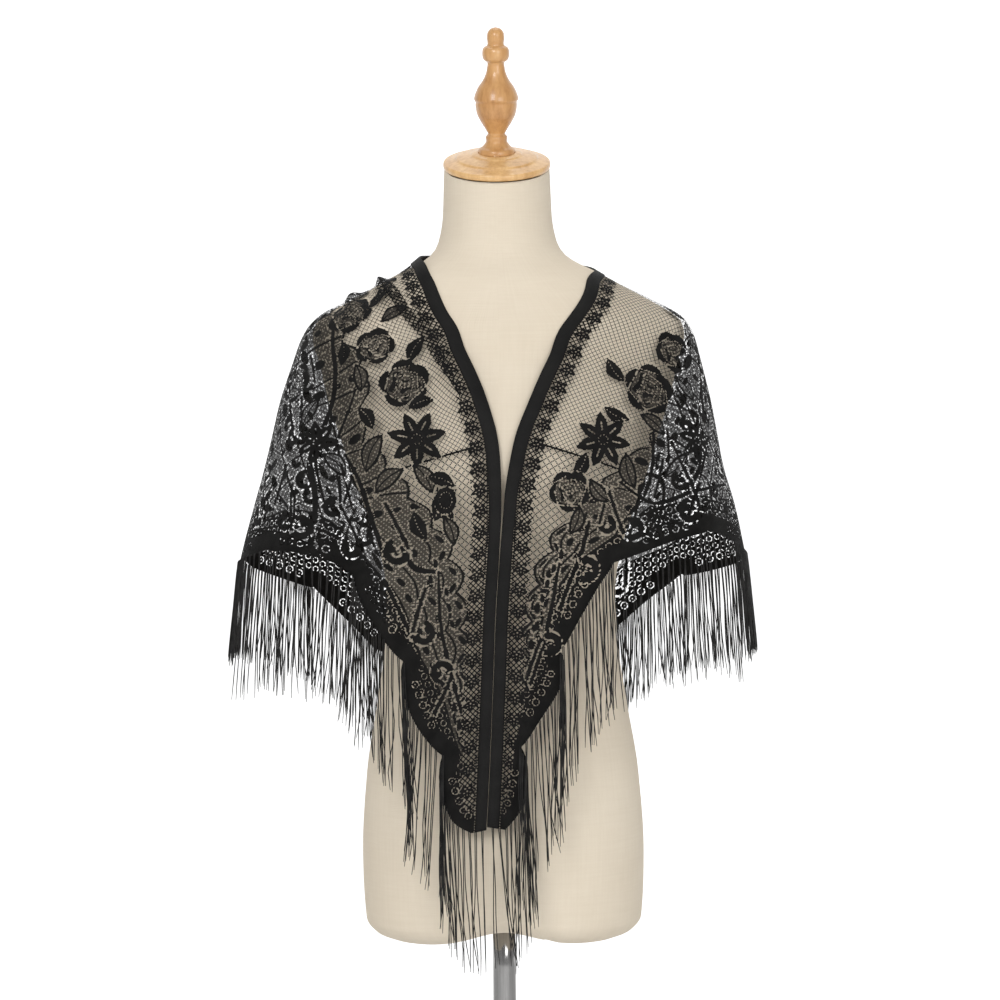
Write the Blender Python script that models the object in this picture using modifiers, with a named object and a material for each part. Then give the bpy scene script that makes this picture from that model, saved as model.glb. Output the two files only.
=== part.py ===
"""A black lace triangle shawl with a long fringe, worn by a limbless dress form on a round stand.

The shawl's surface is worked out in three steps. A table of rings gives the surface that the worn
cloth lies on. Two tables give the routes of the neck edge and of the hem over it. Ribs pulled tight
between those two edges then carry the cloth's own two directions: along the neck edge, and away from
it. The picture's left is -X, its right is +X, and the front faces -Y. Everything is in metres.
"""

import math

import bmesh
import bpy
import numpy as np
from mathutils import Matrix, Vector

# Cut of the shawl
BAND_WIDTH = 0.0137
BAND_THICKNESS = 0.0022
LACE_THICKNESS = 0.0015
FRINGE_THICKNESS = 0.0016
FRINGE_LENGTH = 0.132
FRINGE_FLARE = 0.09
FRINGE_CLEARANCE = 0.0022
SCALLOP_DEPTH = 0.013
SCALLOPS_PER_SIDE = 7.5
TIP_SCALLOP = 0.088
SCALLOP_ROUNDNESS = 0.85
SEAM_GAP = 0.0009
HALF_NECK_EDGE = 0.74

# Stand
POLE_RADIUS = 0.0115
BASE_RADIUS = 0.160
BASE_HEIGHT = 0.014
FLOOR_GAP = 0.0003
CAP_RADIUS = 0.0535
CAP_CENTRE = Vector((0.0, -0.003, 1.2695))
CAP_TILT = math.radians(18)
FINIAL_TILT = math.radians(11)
UNDERSIDE_HEIGHT = 0.5065
UNDERSIDE_SHARE = 0.3
NECK_TRIM_HEIGHT = 1.22
ARCH_RISE = 0.014
ARCH_HALF_WIDTH = 0.042
ARCH_FADE = 0.05

# Mesh fineness
TORSO_SEGMENTS = 36
TURNED_SEGMENTS = 24
NET_RIBS = 75
NET_STEPS = 24
NET_ROUNDS = 300
NET_STIFFNESS = 0.9
MOST_TURN_STEP = 0.05
MOST_HEIGHT_STEP = 0.01
ROUTE_POINTS = 600
CUT_POINTS = 2001
COLUMNS_PER_SCALLOP = 5
LACE_ROWS = 14
ROW_SAMPLES = 80
ROWS_PER_BEND = 0.11
FRINGE_ROWS = 3
TIP_COLUMNS = 4
SHARP_ANGLE = math.radians(40)
CUTTER_SIZE = 0.08

LEFT, RIGHT = -1, 1


def table(columns, rows):
    """A table as arrays, one for each named column."""
    return {name: [row[i] for row in rows] for i, name in enumerate(columns.split())}


TORSO_RINGS = table(
    "height half_width front middle back roundness",
    (
        (0.5000, 0.1120, -0.074, 0.006, 0.086, 2.3),
        (0.5060, 0.1270, -0.088, 0.006, 0.100, 2.3),
        (0.5200, 0.1380, -0.098, 0.006, 0.109, 2.3),
        (0.5880, 0.1410, -0.103, 0.006, 0.114, 2.3),
        (0.6670, 0.1360, -0.100, 0.004, 0.108, 2.3),
        (0.7360, 0.1250, -0.092, 0.002, 0.093, 2.3),
        (0.8070, 0.1155, -0.083, 0.000, 0.078, 2.2),
        (0.8480, 0.1145, -0.081, 0.000, 0.074, 2.2),
        (0.9000, 0.1240, -0.092, 0.000, 0.078, 2.2),
        (0.9380, 0.1370, -0.106, 0.000, 0.085, 2.2),
        (0.9680, 0.1480, -0.117, 0.002, 0.091, 2.2),
        (1.0000, 0.1580, -0.114, 0.004, 0.097, 2.2),
        (1.0370, 0.1700, -0.100, 0.008, 0.102, 2.2),
        (1.0720, 0.1780, -0.084, 0.012, 0.104, 2.2),
        (1.0950, 0.1805, -0.073, 0.015, 0.102, 2.2),
        (1.1110, 0.1770, -0.064, 0.018, 0.098, 2.2),
        (1.1230, 0.1600, -0.059, 0.019, 0.094, 2.1),
        (1.1370, 0.1350, -0.054, 0.020, 0.088, 2.1),
        (1.1550, 0.1020, -0.050, 0.018, 0.081, 2.1),
        (1.1735, 0.0760, -0.048, 0.012, 0.071, 2.1),
        (1.1940, 0.0598, -0.048, 0.008, 0.061, 2.0),
        (1.2200, 0.0545, -0.050, 0.002, 0.054, 2.0),
        (1.2660, 0.0520, -0.055, -0.003, 0.048, 2.0),
    ),
)
WORN_RINGS = table(
    "height half_width front middle back roundness shift",
    (
        (0.590, 0.2900, -0.121, 0.000, 0.134, 2.1, -0.0080),
        (0.700, 0.2810, -0.123, 0.000, 0.130, 2.1, -0.0080),
        (0.800, 0.2680, -0.125, 0.000, 0.125, 2.1, -0.0080),
        (0.885, 0.2520, -0.126, 0.000, 0.120, 2.1, -0.0075),
        (0.938, 0.2390, -0.126, 0.000, 0.117, 2.1, -0.0060),
        (0.968, 0.2300, -0.125, 0.000, 0.116, 2.1, -0.0060),
        (1.000, 0.2230, -0.120, 0.000, 0.115, 2.1, -0.0050),
        (1.038, 0.2155, -0.107, 0.004, 0.114, 2.1, -0.0040),
        (1.075, 0.2050, -0.092, 0.010, 0.113, 2.1, -0.0020),
        (1.100, 0.1980, -0.080, 0.015, 0.111, 2.1, -0.0010),
        (1.118, 0.1890, -0.071, 0.018, 0.107, 2.1, 0.0000),
        (1.130, 0.1680, -0.066, 0.020, 0.103, 2.1, 0.0000),
        (1.143, 0.1425, -0.061, 0.020, 0.098, 2.1, 0.0000),
        (1.161, 0.1070, -0.057, 0.018, 0.091, 2.1, 0.0000),
        (1.177, 0.0825, -0.056, 0.013, 0.082, 2.1, 0.0000),
        (1.190, 0.0695, -0.055, 0.010, 0.075, 2.1, 0.0000),
        (1.205, 0.0610, -0.055, 0.006, 0.069, 2.1, 0.0000),
    ),
)

# Routes over the worn surface, from the centre back to the front tip. "out" is measured from the
# middle towards the route's own side, and "face" says which side of the surface the point is on.
NECK_EDGE = {
    LEFT: table(
        "out height face",
        (
            (0.0000, 1.1830, "back"),
            (0.0450, 1.1835, "back"),
            (0.0660, 1.1830, "back"),
            (0.0755, 1.1815, "side"),
            (0.0705, 1.1720, "front"),
            (0.0646, 1.1600, "front"),
            (0.0477, 1.1230, "front"),
            (0.0310, 1.0860, "front"),
            (0.0127, 1.0436, "front"),
            (0.0037, 1.0140, "front"),
            (-0.0010, 0.9755, "front"),
            (-0.0014, 0.9430, "front"),
            (0.0020, 0.8850, "front"),
            (0.0052, 0.8460, "front"),
            (0.0089, 0.7690, "front"),
            (0.0136, 0.6790, "front"),
            (0.0169, 0.6220, "front"),
        ),
    ),
    RIGHT: table(
        "out height face",
        (
            (0.0000, 1.1830, "back"),
            (0.0450, 1.1810, "back"),
            (0.0750, 1.1735, "back"),
            (0.0925, 1.1680, "side"),
            (0.0885, 1.1580, "front"),
            (0.0723, 1.1247, "front"),
            (0.0472, 1.0780, "front"),
            (0.0281, 1.0370, "front"),
            (0.0156, 1.0060, "front"),
            (0.0087, 0.9754, "front"),
            (0.0050, 0.9530, "front"),
            (0.0028, 0.9290, "front"),
            (-0.0006, 0.8850, "front"),
            (-0.0036, 0.8460, "front"),
            (-0.0073, 0.7690, "front"),
            (-0.0118, 0.6790, "front"),
            (-0.0151, 0.6250, "front"),
        ),
    ),
}
HEM = {
    LEFT: table(
        "out height face",
        (
            (0.000, 0.672, "back"),
            (0.060, 0.718, "back"),
            (0.121, 0.767, "back"),
            (0.153, 0.806, "back"),
            (0.199, 0.845, "back"),
            (0.260, 0.877, "side"),
            (0.235, 0.888, "front"),
            (0.195, 0.891, "front"),
            (0.160, 0.878, "front"),
            (0.128, 0.830, "front"),
            (0.104, 0.775, "front"),
            (0.089, 0.735, "front"),
            (0.070, 0.690, "front"),
            (0.059, 0.652, "front"),
            (0.047, 0.628, "front"),
            (0.031, 0.619, "front"),
        ),
    ),
    RIGHT: table(
        "out height face",
        (
            (0.000, 0.672, "back"),
            (0.060, 0.718, "back"),
            (0.1244, 0.805, "back"),
            (0.149, 0.828, "back"),
            (0.186, 0.850, "back"),
            (0.244, 0.879, "side"),
            (0.230, 0.896, "front"),
            (0.190, 0.904, "front"),
            (0.145, 0.892, "front"),
            (0.105, 0.868, "front"),
            (0.078, 0.828, "front"),
            (0.062, 0.770, "front"),
            (0.035, 0.720, "front"),
            (0.026, 0.672, "front"),
            (0.017, 0.640, "front"),
            (0.002, 0.622, "front"),
        ),
    ),
}
# The triangle as it was cut: how deep the cloth is below each place along half the neck edge
CUT = table(
    "along depth",
    (
        (0.00, 0.530),
        (0.10, 0.490),
        (0.20, 0.440),
        (0.30, 0.365),
        (0.40, 0.265),
        (0.50, 0.175),
        (0.60, 0.110),
        (0.70, 0.055),
        (0.74, 0.030),
    ),
)
# Folds: each is a soft ridge (rise above 0) or trough (below 0) along a line from its top to its foot,
# shallow at its top and at its full rise from some way down
FOLD_POINTS = 30
FOLD_START = 0.15
FOLD_GROWTH = 1.2
FOLDS = table(
    "side face top_out top_height foot_out foot_height half_width rise",
    (
        (LEFT, "front", 0.102, 1.135, 0.034, 1.040, 0.015, 0.0055),
        (LEFT, "front", 0.150, 1.120, 0.118, 1.010, 0.022, 0.0060),
        (LEFT, "front", 0.184, 1.085, 0.197, 0.880, 0.026, 0.0100),
        (LEFT, "front", 0.160, 1.040, 0.168, 0.880, 0.020, -0.0060),
        (LEFT, "front", 0.110, 0.960, 0.135, 0.850, 0.030, 0.0070),
        (LEFT, "back", 0.205, 1.040, 0.235, 0.860, 0.028, 0.0100),
        (LEFT, "back", 0.160, 1.080, 0.172, 0.830, 0.030, 0.0110),
        (LEFT, "back", 0.100, 1.090, 0.108, 0.760, 0.030, 0.0090),
        (LEFT, "back", 0.034, 1.100, 0.038, 0.700, 0.028, 0.0080),
        (RIGHT, "front", 0.030, 0.980, 0.022, 0.700, 0.014, 0.0070),
        (RIGHT, "front", 0.056, 0.960, 0.054, 0.800, 0.016, 0.0085),
        (RIGHT, "front", 0.126, 0.990, 0.140, 0.890, 0.028, 0.0060),
        (RIGHT, "front", 0.182, 1.060, 0.198, 0.900, 0.026, 0.0080),
        (RIGHT, "back", 0.190, 1.050, 0.222, 0.870, 0.028, 0.0100),
        (RIGHT, "back", 0.140, 1.070, 0.156, 0.835, 0.028, 0.0090),
        (RIGHT, "back", 0.078, 1.090, 0.086, 0.760, 0.028, 0.0110),
    ),
)
# Stretches of one half of the shawl, as shares of its hem counted from the centre back
STRETCHES = table(
    "name start end",
    (
        ("back", 0.00, 0.16),
        ("arm", 0.16, 0.50),
        ("front", 0.50, 1.00),
    ),
)

CAP_PROFILE = table(
    "radius height",
    (
        (0.0000, 0.0160),
        (0.0200, 0.0160),
        (0.0245, 0.0146),
        (0.0258, 0.0136),
        (0.0400, 0.0108),
        (0.0412, 0.0094),
        (0.0490, 0.0072),
        (CAP_RADIUS - 0.0008, 0.0060),
        (CAP_RADIUS, 0.0032),
        (CAP_RADIUS - 0.0010, 0.0003),
        (CAP_RADIUS - 0.0040, 0.0000),
        (0.0000, 0.0000),
    ),
)
FINIAL_PROFILE = table(
    "radius height",
    (
        (0.0000, 0.1240),
        (0.0045, 0.1228),
        (0.0078, 0.1190),
        (0.0086, 0.1140),
        (0.0086, 0.1062),
        (0.0120, 0.1040),
        (0.0134, 0.0982),
        (0.0120, 0.0922),
        (0.0085, 0.0892),
        (0.0088, 0.0840),
        (0.0095, 0.0800),
        (0.0130, 0.0718),
        (0.0180, 0.0645),
        (0.0215, 0.0560),
        (0.0220, 0.0530),
        (0.0205, 0.0502),
        (0.0206, 0.0470),
        (0.0190, 0.0378),
        (0.0150, 0.0298),
        (0.0100, 0.0216),
        (0.0085, 0.0184),
        (0.0106, 0.0156),
        (0.0106, 0.0104),
        (0.0122, 0.0080),
        (0.0140, 0.0058),
        (0.0180, 0.0030),
        (0.0180, -0.0080),
        (0.0000, -0.0080),
    ),
)
BASE_PROFILE = table(
    "radius height",
    (
        (0.0000, BASE_HEIGHT),
        (0.0240, BASE_HEIGHT),
        (0.0260, BASE_HEIGHT - 0.0020),
        (0.0280, BASE_HEIGHT - 0.0060),
        (BASE_RADIUS - 0.0200, 0.0060),
        (BASE_RADIUS - 0.0040, 0.0042),
        (BASE_RADIUS, 0.0020),
        (BASE_RADIUS, 0.0000),
        (0.0000, 0.0000),
    ),
)


def clear_scene():
    for item in list(bpy.data.objects):
        bpy.data.objects.remove(item, do_unlink=True)


def new_collection(name):
    collection = bpy.data.collections.new(name)
    bpy.context.scene.collection.children.link(collection)
    return collection


def new_material(name, colour, roughness, metallic=0.0):
    material = bpy.data.materials.new(name)
    material.use_nodes = True
    shader = material.node_tree.nodes["Principled BSDF"]
    shader.inputs["Base Color"].default_value = (*colour, 1.0)
    shader.inputs["Roughness"].default_value = roughness
    shader.inputs["Metallic"].default_value = metallic
    material.diffuse_color = (*colour, 1.0)
    return material


def through(knots, values, at):
    """Smooth curve through table rows, with slopes limited so that it never overshoots a row."""
    x, y = np.asarray(knots, float), np.asarray(values, float)
    step = np.diff(x)
    slope = np.diff(y) / step
    before, after = slope[:-1], slope[1:]
    near, far = 2 * step[1:] + step[:-1], step[1:] + 2 * step[:-1]
    turning = before * after <= 0
    weights = near / np.where(turning, 1, before) + far / np.where(turning, 1, after)
    inner = np.where(turning, 0, (near + far) / np.where(turning, 1, weights))
    tangent = np.concatenate([slope[:1], inner, slope[-1:]])
    at = np.clip(np.asarray(at, float), x[0], x[-1])
    i = np.clip(np.searchsorted(x, at, side="right") - 1, 0, len(step) - 1)
    t = (at - x[i]) / step[i]
    start = (1 + 2 * t) * (1 - t) ** 2 * y[i] + t * (1 - t) ** 2 * step[i] * tangent[i]
    return start + t * t * (3 - 2 * t) * y[i + 1] + t * t * (t - 1) * step[i] * tangent[i + 1]


def rounded(knots, values, at):
    """Smooth curve through points of a route, rounded at each of them."""
    x, y = np.asarray(knots, float), np.asarray(values, float)
    step, tangent = np.diff(x), np.gradient(y, x)
    i = np.clip(np.searchsorted(x, at, side="right") - 1, 0, len(step) - 1)
    t = (at - x[i]) / step[i]
    start = (1 + 2 * t) * (1 - t) ** 2 * y[i] + t * (1 - t) ** 2 * step[i] * tangent[i]
    return start + t * t * (3 - 2 * t) * y[i + 1] + t * t * (t - 1) * step[i] * tangent[i + 1]


def smooth_step(share):
    share = np.clip(share, 0, 1)
    return share * share * (3 - 2 * share)


def ring_at(rings, name, height):
    return through(rings["height"], rings[name], height)


def oval(rings, turn, height):
    """A ring's outline at an angle from the front centre: how far out, and the depth in y."""
    middle = ring_at(rings, "middle", height)
    front = ring_at(rings, "front", height)
    back = ring_at(rings, "back", height)
    flatness = 2 / ring_at(rings, "roundness", height)
    cosine, sine = np.cos(turn), np.sin(turn)
    reach = np.where(cosine > 0, middle - front, back - middle)
    out = ring_at(rings, "half_width", height) * np.sign(sine) * np.abs(sine) ** flatness
    return out, middle - np.sign(cosine) * reach * np.abs(cosine) ** flatness


def worn_point(side, turn, height):
    out, y = oval(WORN_RINGS, turn, height)
    x = side * out + ring_at(WORN_RINGS, "shift", height)
    return np.stack([x, y, height + 0 * x], -1)


def turn_of(side, out, height, face):
    if face == "side":
        return math.pi / 2
    half_width = ring_at(WORN_RINGS, "half_width", height)
    sine = np.clip((out - side * ring_at(WORN_RINGS, "shift", height)) / half_width, -1, 1)
    turn = np.arcsin(np.sign(sine) * np.abs(sine) ** (ring_at(WORN_RINGS, "roundness", height) / 2))
    return float(math.pi - turn if face == "back" else turn)


def arc_length(points):
    steps = np.linalg.norm(np.diff(points, axis=0), axis=1)
    return np.concatenate([[0], np.cumsum(steps)])


def even_route(side, route, count=ROUTE_POINTS):
    """The route as evenly spaced places on the worn surface: turns, heights and the length so far."""
    rows = zip(route["out"], route["height"], route["face"])
    turn = np.array([turn_of(side, *row) for row in rows])
    height = np.array(route["height"], float)
    length = arc_length(worn_point(side, turn, height))
    places = np.linspace(0, length[-1], count)
    turn, height = rounded(length, turn, places), rounded(length, height, places)
    for _ in range(2):
        length = arc_length(worn_point(side, turn, height))
        places = np.linspace(0, length[-1], count)
        turn, height = np.interp(places, length, turn), np.interp(places, length, height)
    return turn, height, arc_length(worn_point(side, turn, height))


def hem_share_of(neck_share):
    """The share of the hem that lies below a share of the neck edge, from the cut."""
    fine = np.linspace(0, 1, CUT_POINTS)
    depth = through(CUT["along"], CUT["depth"], fine * HALF_NECK_EDGE)
    length = arc_length(np.stack([fine * HALF_NECK_EDGE, depth], -1))
    return np.interp(neck_share, fine, length / length[-1])


def even_pull(net):
    """How far each inner point of the net is from where an evenly meshed net would have it."""
    left, right, above, below = net[:-2, 1:-1], net[2:, 1:-1], net[1:-1, :-2], net[1:-1, 2:]
    along, across = (right - left) / 2, (below - above) / 2
    corners = net[2:, 2:] - net[:-2, 2:] - net[2:, :-2] + net[:-2, :-2]
    across_weight = (across**2).sum(-1, keepdims=True)
    along_weight = (along**2).sum(-1, keepdims=True)
    shear = (along * across).sum(-1, keepdims=True)
    even = across_weight * (left + right) + along_weight * (above + below) - shear * corners / 2
    return even / (2 * (across_weight + along_weight)) - net[1:-1, 1:-1]


def pull_tight(side, turn, height):
    """Pulls ribs tight over the worn surface, while the net holds them evenly apart."""
    small = 1e-4
    for _ in range(NET_ROUNDS):
        net = worn_point(side, turn, height)
        pull = (net[:, 2:] + net[:, :-2]) / 2 - net[:, 1:-1]
        pull[1:-1] += NET_STIFFNESS * (even_pull(net) - pull[1:-1])
        t, h = turn[:, 1:-1], height[:, 1:-1]
        by_turn = (worn_point(side, t + small, h) - worn_point(side, t - small, h)) / (2 * small)
        by_height = (worn_point(side, t, h + small) - worn_point(side, t, h - small)) / (2 * small)
        tt, hh = (by_turn**2).sum(-1), (by_height**2).sum(-1)
        th = (by_turn * by_height).sum(-1)
        pt, ph = (pull * by_turn).sum(-1), (pull * by_height).sum(-1)
        area = np.maximum(tt * hh - th * th, 1e-9)
        turn[:, 1:-1] += np.clip((pt * hh - ph * th) / area, -MOST_TURN_STEP, MOST_TURN_STEP)
        height[:, 1:-1] += np.clip((ph * tt - pt * th) / area, -MOST_HEIGHT_STEP, MOST_HEIGHT_STEP)
    return worn_point(side, turn, height)


def fold_lines(side):
    """Each fold of one side as the points of its crest, with its half width and rise."""
    columns = [FOLDS[name] for name in FOLDS]
    for of_side, face, top_out, top_height, foot_out, foot_height, half_width, rise in zip(*columns):
        if of_side != side:
            continue
        share = np.linspace(0, 1, FOLD_POINTS)
        out = top_out + share * (foot_out - top_out)
        height = top_height + share * (foot_height - top_height)
        turn = np.array([turn_of(side, o, h, face) for o, h in zip(out, height)])
        yield worn_point(side, turn, height), half_width, rise


def fold_rise(side, points):
    """How far the folds lift or sink each point of the surface."""
    total = np.zeros(points.shape[:-1])
    for crest, half_width, rise in fold_lines(side):
        gaps = np.linalg.norm(points[..., None, :] - crest, axis=-1)
        nearest = gaps.argmin(-1) / (len(crest) - 1)
        grow = smooth_step(FOLD_START + FOLD_GROWTH * nearest)
        total += rise * grow * np.exp(-((gaps.min(-1) / half_width) ** 2))
    return total


def make_net(side):
    """Points, outward normals and lengths of the ribs of one half of the shawl."""
    share = np.linspace(0, 1, NET_RIBS)
    neck_turn, neck_height, neck_length = even_route(side, NECK_EDGE[side])
    hem_turn, hem_height, hem_length = even_route(side, HEM[side])
    neck_at = share * neck_length[-1]
    hem_at = hem_share_of(share) * hem_length[-1]
    down = np.linspace(0, 1, NET_STEPS + 1)[None, :]

    def between(neck_values, hem_values):
        start = np.interp(neck_at, neck_length, neck_values)[:, None]
        end = np.interp(hem_at, hem_length, hem_values)[:, None]
        return start * (1 - down) + end * down

    points = pull_tight(side, between(neck_turn, hem_turn), between(neck_height, hem_height))
    for rib in points:
        length = arc_length(rib)
        even = np.linspace(0, length[-1], len(rib))
        rib[:] = np.stack([np.interp(even, length, rib[:, k]) for k in range(3)], -1)
    normals = np.cross(np.gradient(points, axis=0), np.gradient(points, axis=1)) * side
    normals /= np.linalg.norm(normals, axis=-1, keepdims=True)
    lengths = np.linalg.norm(np.diff(points, axis=1), axis=2).sum(1)
    bends = np.arccos(np.clip((normals[:, 1:] * normals[:, :-1]).sum(-1), -1, 1)).cumsum(1)
    bends = np.pad(bends, ((0, 0), (1, 0)))[..., None]
    points = points + normals * fold_rise(side, points)[..., None]
    return {
        "points": points,
        "normals": normals,
        "bends": bends,
        "length": lengths,
        "hem": hem_length[-1],
    }


def sample(net, values, share, down):
    """Values of the net between its ribs: share along the neck edge, down as a share of the rib."""
    column = np.clip(share, 0, 1) * (NET_RIBS - 1)
    row = np.clip(down, 0, 1) * NET_STEPS
    i = np.minimum(column.astype(int), NET_RIBS - 2)
    j = np.minimum(row.astype(int), NET_STEPS - 1)
    u, v = (column - i)[..., None], (row - j)[..., None]
    near = net[values][i, j] * (1 - u) + net[values][i + 1, j] * u
    far = net[values][i, j + 1] * (1 - u) + net[values][i + 1, j + 1] * u
    return near * (1 - v) + far * v


def place(net, share, away, lift=0.0):
    """Points of the shawl: share along the neck edge, metres away from it, lifted off the cloth."""
    length = np.interp(share, np.linspace(0, 1, NET_RIBS), net["length"])
    down = away / length
    normal = sample(net, "normals", share, down)
    normal /= np.linalg.norm(normal, axis=-1, keepdims=True)
    return sample(net, "points", share, down) + normal * lift, normal


def scallop_cut(hem_share, hem_length):
    """How far the scalloped edge stands back from its outermost line, at a share of the hem."""
    pitch = (hem_length - TIP_SCALLOP) / SCALLOPS_PER_SIDE
    phase = ((1 - hem_share) * hem_length - TIP_SCALLOP) / pitch
    within = 2 * (phase - np.floor(phase)) - 1
    bow = (1 - np.sqrt(1 - SCALLOP_ROUNDNESS * within**2)) / (1 - math.sqrt(1 - SCALLOP_ROUNDNESS))
    return SCALLOP_DEPTH * bow * (phase > -0.5)


def rib_shares(net, start, end):
    """Evenly spaced ribs of a stretch of the hem, as shares along the neck edge."""
    pitch = (net["hem"] - TIP_SCALLOP) / SCALLOPS_PER_SIDE / COLUMNS_PER_SCALLOP
    count = max(3, round((end - start) * net["hem"] / pitch))
    fine = np.linspace(0, 1, CUT_POINTS)
    return np.interp(np.linspace(start, end, count + 1), hem_share_of(fine), fine)


def stretch_ends(net, start, end):
    """The stretch less half a seam gap at an end that meets another stretch."""
    gap = SEAM_GAP / net["hem"] / 2
    return start + (gap if start > 0 else 0), end - (gap if end < 1 else 0)


def mesh_of_grid(name, points):
    """An open sheet of faces between rows and columns of points."""
    columns, rows = points.shape[:2]
    mesh = bpy.data.meshes.new(name)
    mesh_builder = bmesh.new()
    grid = [[mesh_builder.verts.new(point) for point in column] for column in points.tolist()]
    for i in range(columns - 1):
        for j in range(rows - 1):
            mesh_builder.faces.new((grid[i][j], grid[i + 1][j], grid[i + 1][j + 1], grid[i][j + 1]))
    bmesh.ops.recalc_face_normals(mesh_builder, faces=mesh_builder.faces)
    mesh_builder.to_mesh(mesh)
    mesh_builder.free()
    return mesh


def add_object(name, mesh, material, collection):
    item = bpy.data.objects.new(name, mesh)
    collection.objects.link(item)
    mesh.materials.append(material)
    mesh.shade_smooth()
    return item


def add_cloth(name, points, thickness, material, collection):
    item = add_object(name, mesh_of_grid(name, points), material, collection)
    shell = item.modifiers.new("thickness", "SOLIDIFY")
    shell.thickness = thickness
    shell.offset = 0
    return item


def both_halves(left, right):
    """One sheet across the centre back, from the left half's far end to the right half's."""
    middle = (left[:1] + right[:1]) / 2
    return np.concatenate([left[:0:-1], middle, right[1:]])


def rows_along(net, share, first, last):
    """Distances from the neck edge for the rows of one rib, closer together where the rib bends."""
    length = np.interp(share, np.linspace(0, 1, NET_RIBS), net["length"])
    away = np.linspace(first, last, ROW_SAMPLES)
    bend = sample(net, "bends", np.full(ROW_SAMPLES, share), away / length)[:, 0]
    weight = away + ROWS_PER_BEND * bend
    return np.interp(np.linspace(weight[0], weight[-1], LACE_ROWS + 1), weight, away)


def lace_points(net, start, end):
    share = rib_shares(net, *stretch_ends(net, start, end))
    length = np.interp(share, np.linspace(0, 1, NET_RIBS), net["length"])
    hem = length - scallop_cut(hem_share_of(share), net["hem"])
    first = BAND_WIDTH + SEAM_GAP
    away = np.array([rows_along(net, *rib) for rib in zip(share, first + 0 * hem, hem)])
    return place(net, share[:, None] + 0 * away, away)[0]


def fringe_points(net, start, end):
    """A curtain that hangs straight down from the middle of the scallops and flares a little."""
    share = rib_shares(net, *stretch_ends(net, start, end))
    length = np.interp(share, np.linspace(0, 1, NET_RIBS), net["length"])
    away = length - SCALLOP_DEPTH / 2
    if end == 1:
        across = np.linspace(1, 0, TIP_COLUMNS + 1)[1:]
        share = np.concatenate([share, np.ones(TIP_COLUMNS)])
        away = np.concatenate([away, BAND_WIDTH / 3 + across * (away[-1] - BAND_WIDTH / 3)])
    lift = (LACE_THICKNESS + FRINGE_THICKNESS) / 2 + FRINGE_CLEARANCE
    top, normal = place(net, share, away, lift)
    outward = normal * (1, 1, 0)
    drop = np.linspace(0, FRINGE_LENGTH, FRINGE_ROWS + 1)[None, :, None]
    return top[:, None] + drop * (outward[:, None] * FRINGE_FLARE - np.array([0, 0, 1]))


def band_points(net):
    cuts = [rib_shares(net, start, end) for start, end in zip(STRETCHES["start"], STRETCHES["end"])]
    share = np.unique(np.concatenate(cuts))
    away = np.array([[0.0, BAND_WIDTH]])
    return place(net, share[:, None] + 0 * away, away + 0 * share[:, None])[0]


def add_shawl(collection):
    black_lace = new_material("black_lace", (0.012, 0.011, 0.011), 0.75)
    black_band = new_material("black_band", (0.014, 0.013, 0.013), 0.65)
    black_fringe = new_material("black_fringe", (0.016, 0.015, 0.014), 0.6)
    nets = {side: make_net(side) for side in (LEFT, RIGHT)}
    for name, start, end in zip(*STRETCHES.values()):
        lace = {side: lace_points(nets[side], start, end) for side in nets}
        fringe = {side: fringe_points(nets[side], start, end) for side in nets}
        if start == 0:
            whole_lace = both_halves(lace[LEFT], lace[RIGHT])
            whole_fringe = both_halves(fringe[LEFT], fringe[RIGHT])
            add_cloth("lace_" + name, whole_lace, LACE_THICKNESS, black_lace, collection)
            add_cloth("fringe_" + name, whole_fringe, FRINGE_THICKNESS, black_fringe, collection)
            continue
        for side, word in ((LEFT, "left"), (RIGHT, "right")):
            add_cloth(f"lace_{name}_{word}", lace[side], LACE_THICKNESS, black_lace, collection)
            add_cloth(f"fringe_{name}_{word}", fringe[side], FRINGE_THICKNESS, black_fringe, collection)
    band = both_halves(band_points(nets[LEFT]), band_points(nets[RIGHT]))
    add_cloth("edge_band", band, BAND_THICKNESS, black_band, collection)


def torso_ring(height):
    """One ring of the torso. The underside arches at the front, and the neck ends under the cap."""
    turn = np.linspace(0, 2 * math.pi, TORSO_SEGMENTS, endpoint=False)
    x, y = oval(TORSO_RINGS, turn, height)
    low = 1 - smooth_step((height - TORSO_RINGS["height"][0]) / ARCH_FADE)
    arch = ARCH_RISE * low * np.exp(-((x / ARCH_HALF_WIDTH) ** 2)) * (y < 0)
    high = smooth_step((height - NECK_TRIM_HEIGHT) / (TORSO_RINGS["height"][-1] - NECK_TRIM_HEIGHT))
    slope = high * math.tan(CAP_TILT) * (y - CAP_CENTRE.y)
    under_cap = high * (CAP_CENTRE.z - height - 2 * FLOOR_GAP)
    return np.stack([x, y, height + arch + slope + under_cap], -1)


def add_torso(collection):
    """The torso is a loft through its rings, closed by flat discs under the neck cap and on the pole."""
    heights = TORSO_RINGS["height"]
    rings = [torso_ring(height) for height in heights]
    underside = torso_ring(heights[0]) * (UNDERSIDE_SHARE, UNDERSIDE_SHARE, 0)
    underside += (0, 0, UNDERSIDE_HEIGHT)
    mesh = bpy.data.meshes.new("form_torso")
    mesh_builder = bmesh.new()
    loops = [[mesh_builder.verts.new(point) for point in ring] for ring in [underside, *rings]]
    for lower, upper in zip(loops, loops[1:]):
        for i in range(TORSO_SEGMENTS):
            j = (i + 1) % TORSO_SEGMENTS
            mesh_builder.faces.new((lower[i], lower[j], upper[j], upper[i]))
    mesh_builder.faces.new(reversed(loops[0]))
    mesh_builder.faces.new(loops[-1])
    bmesh.ops.recalc_face_normals(mesh_builder, faces=mesh_builder.faces)
    mesh_builder.to_mesh(mesh)
    mesh_builder.free()
    linen = new_material("linen", (0.80, 0.73, 0.60), 0.85)
    add_object("form_torso", mesh, linen, collection)


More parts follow.
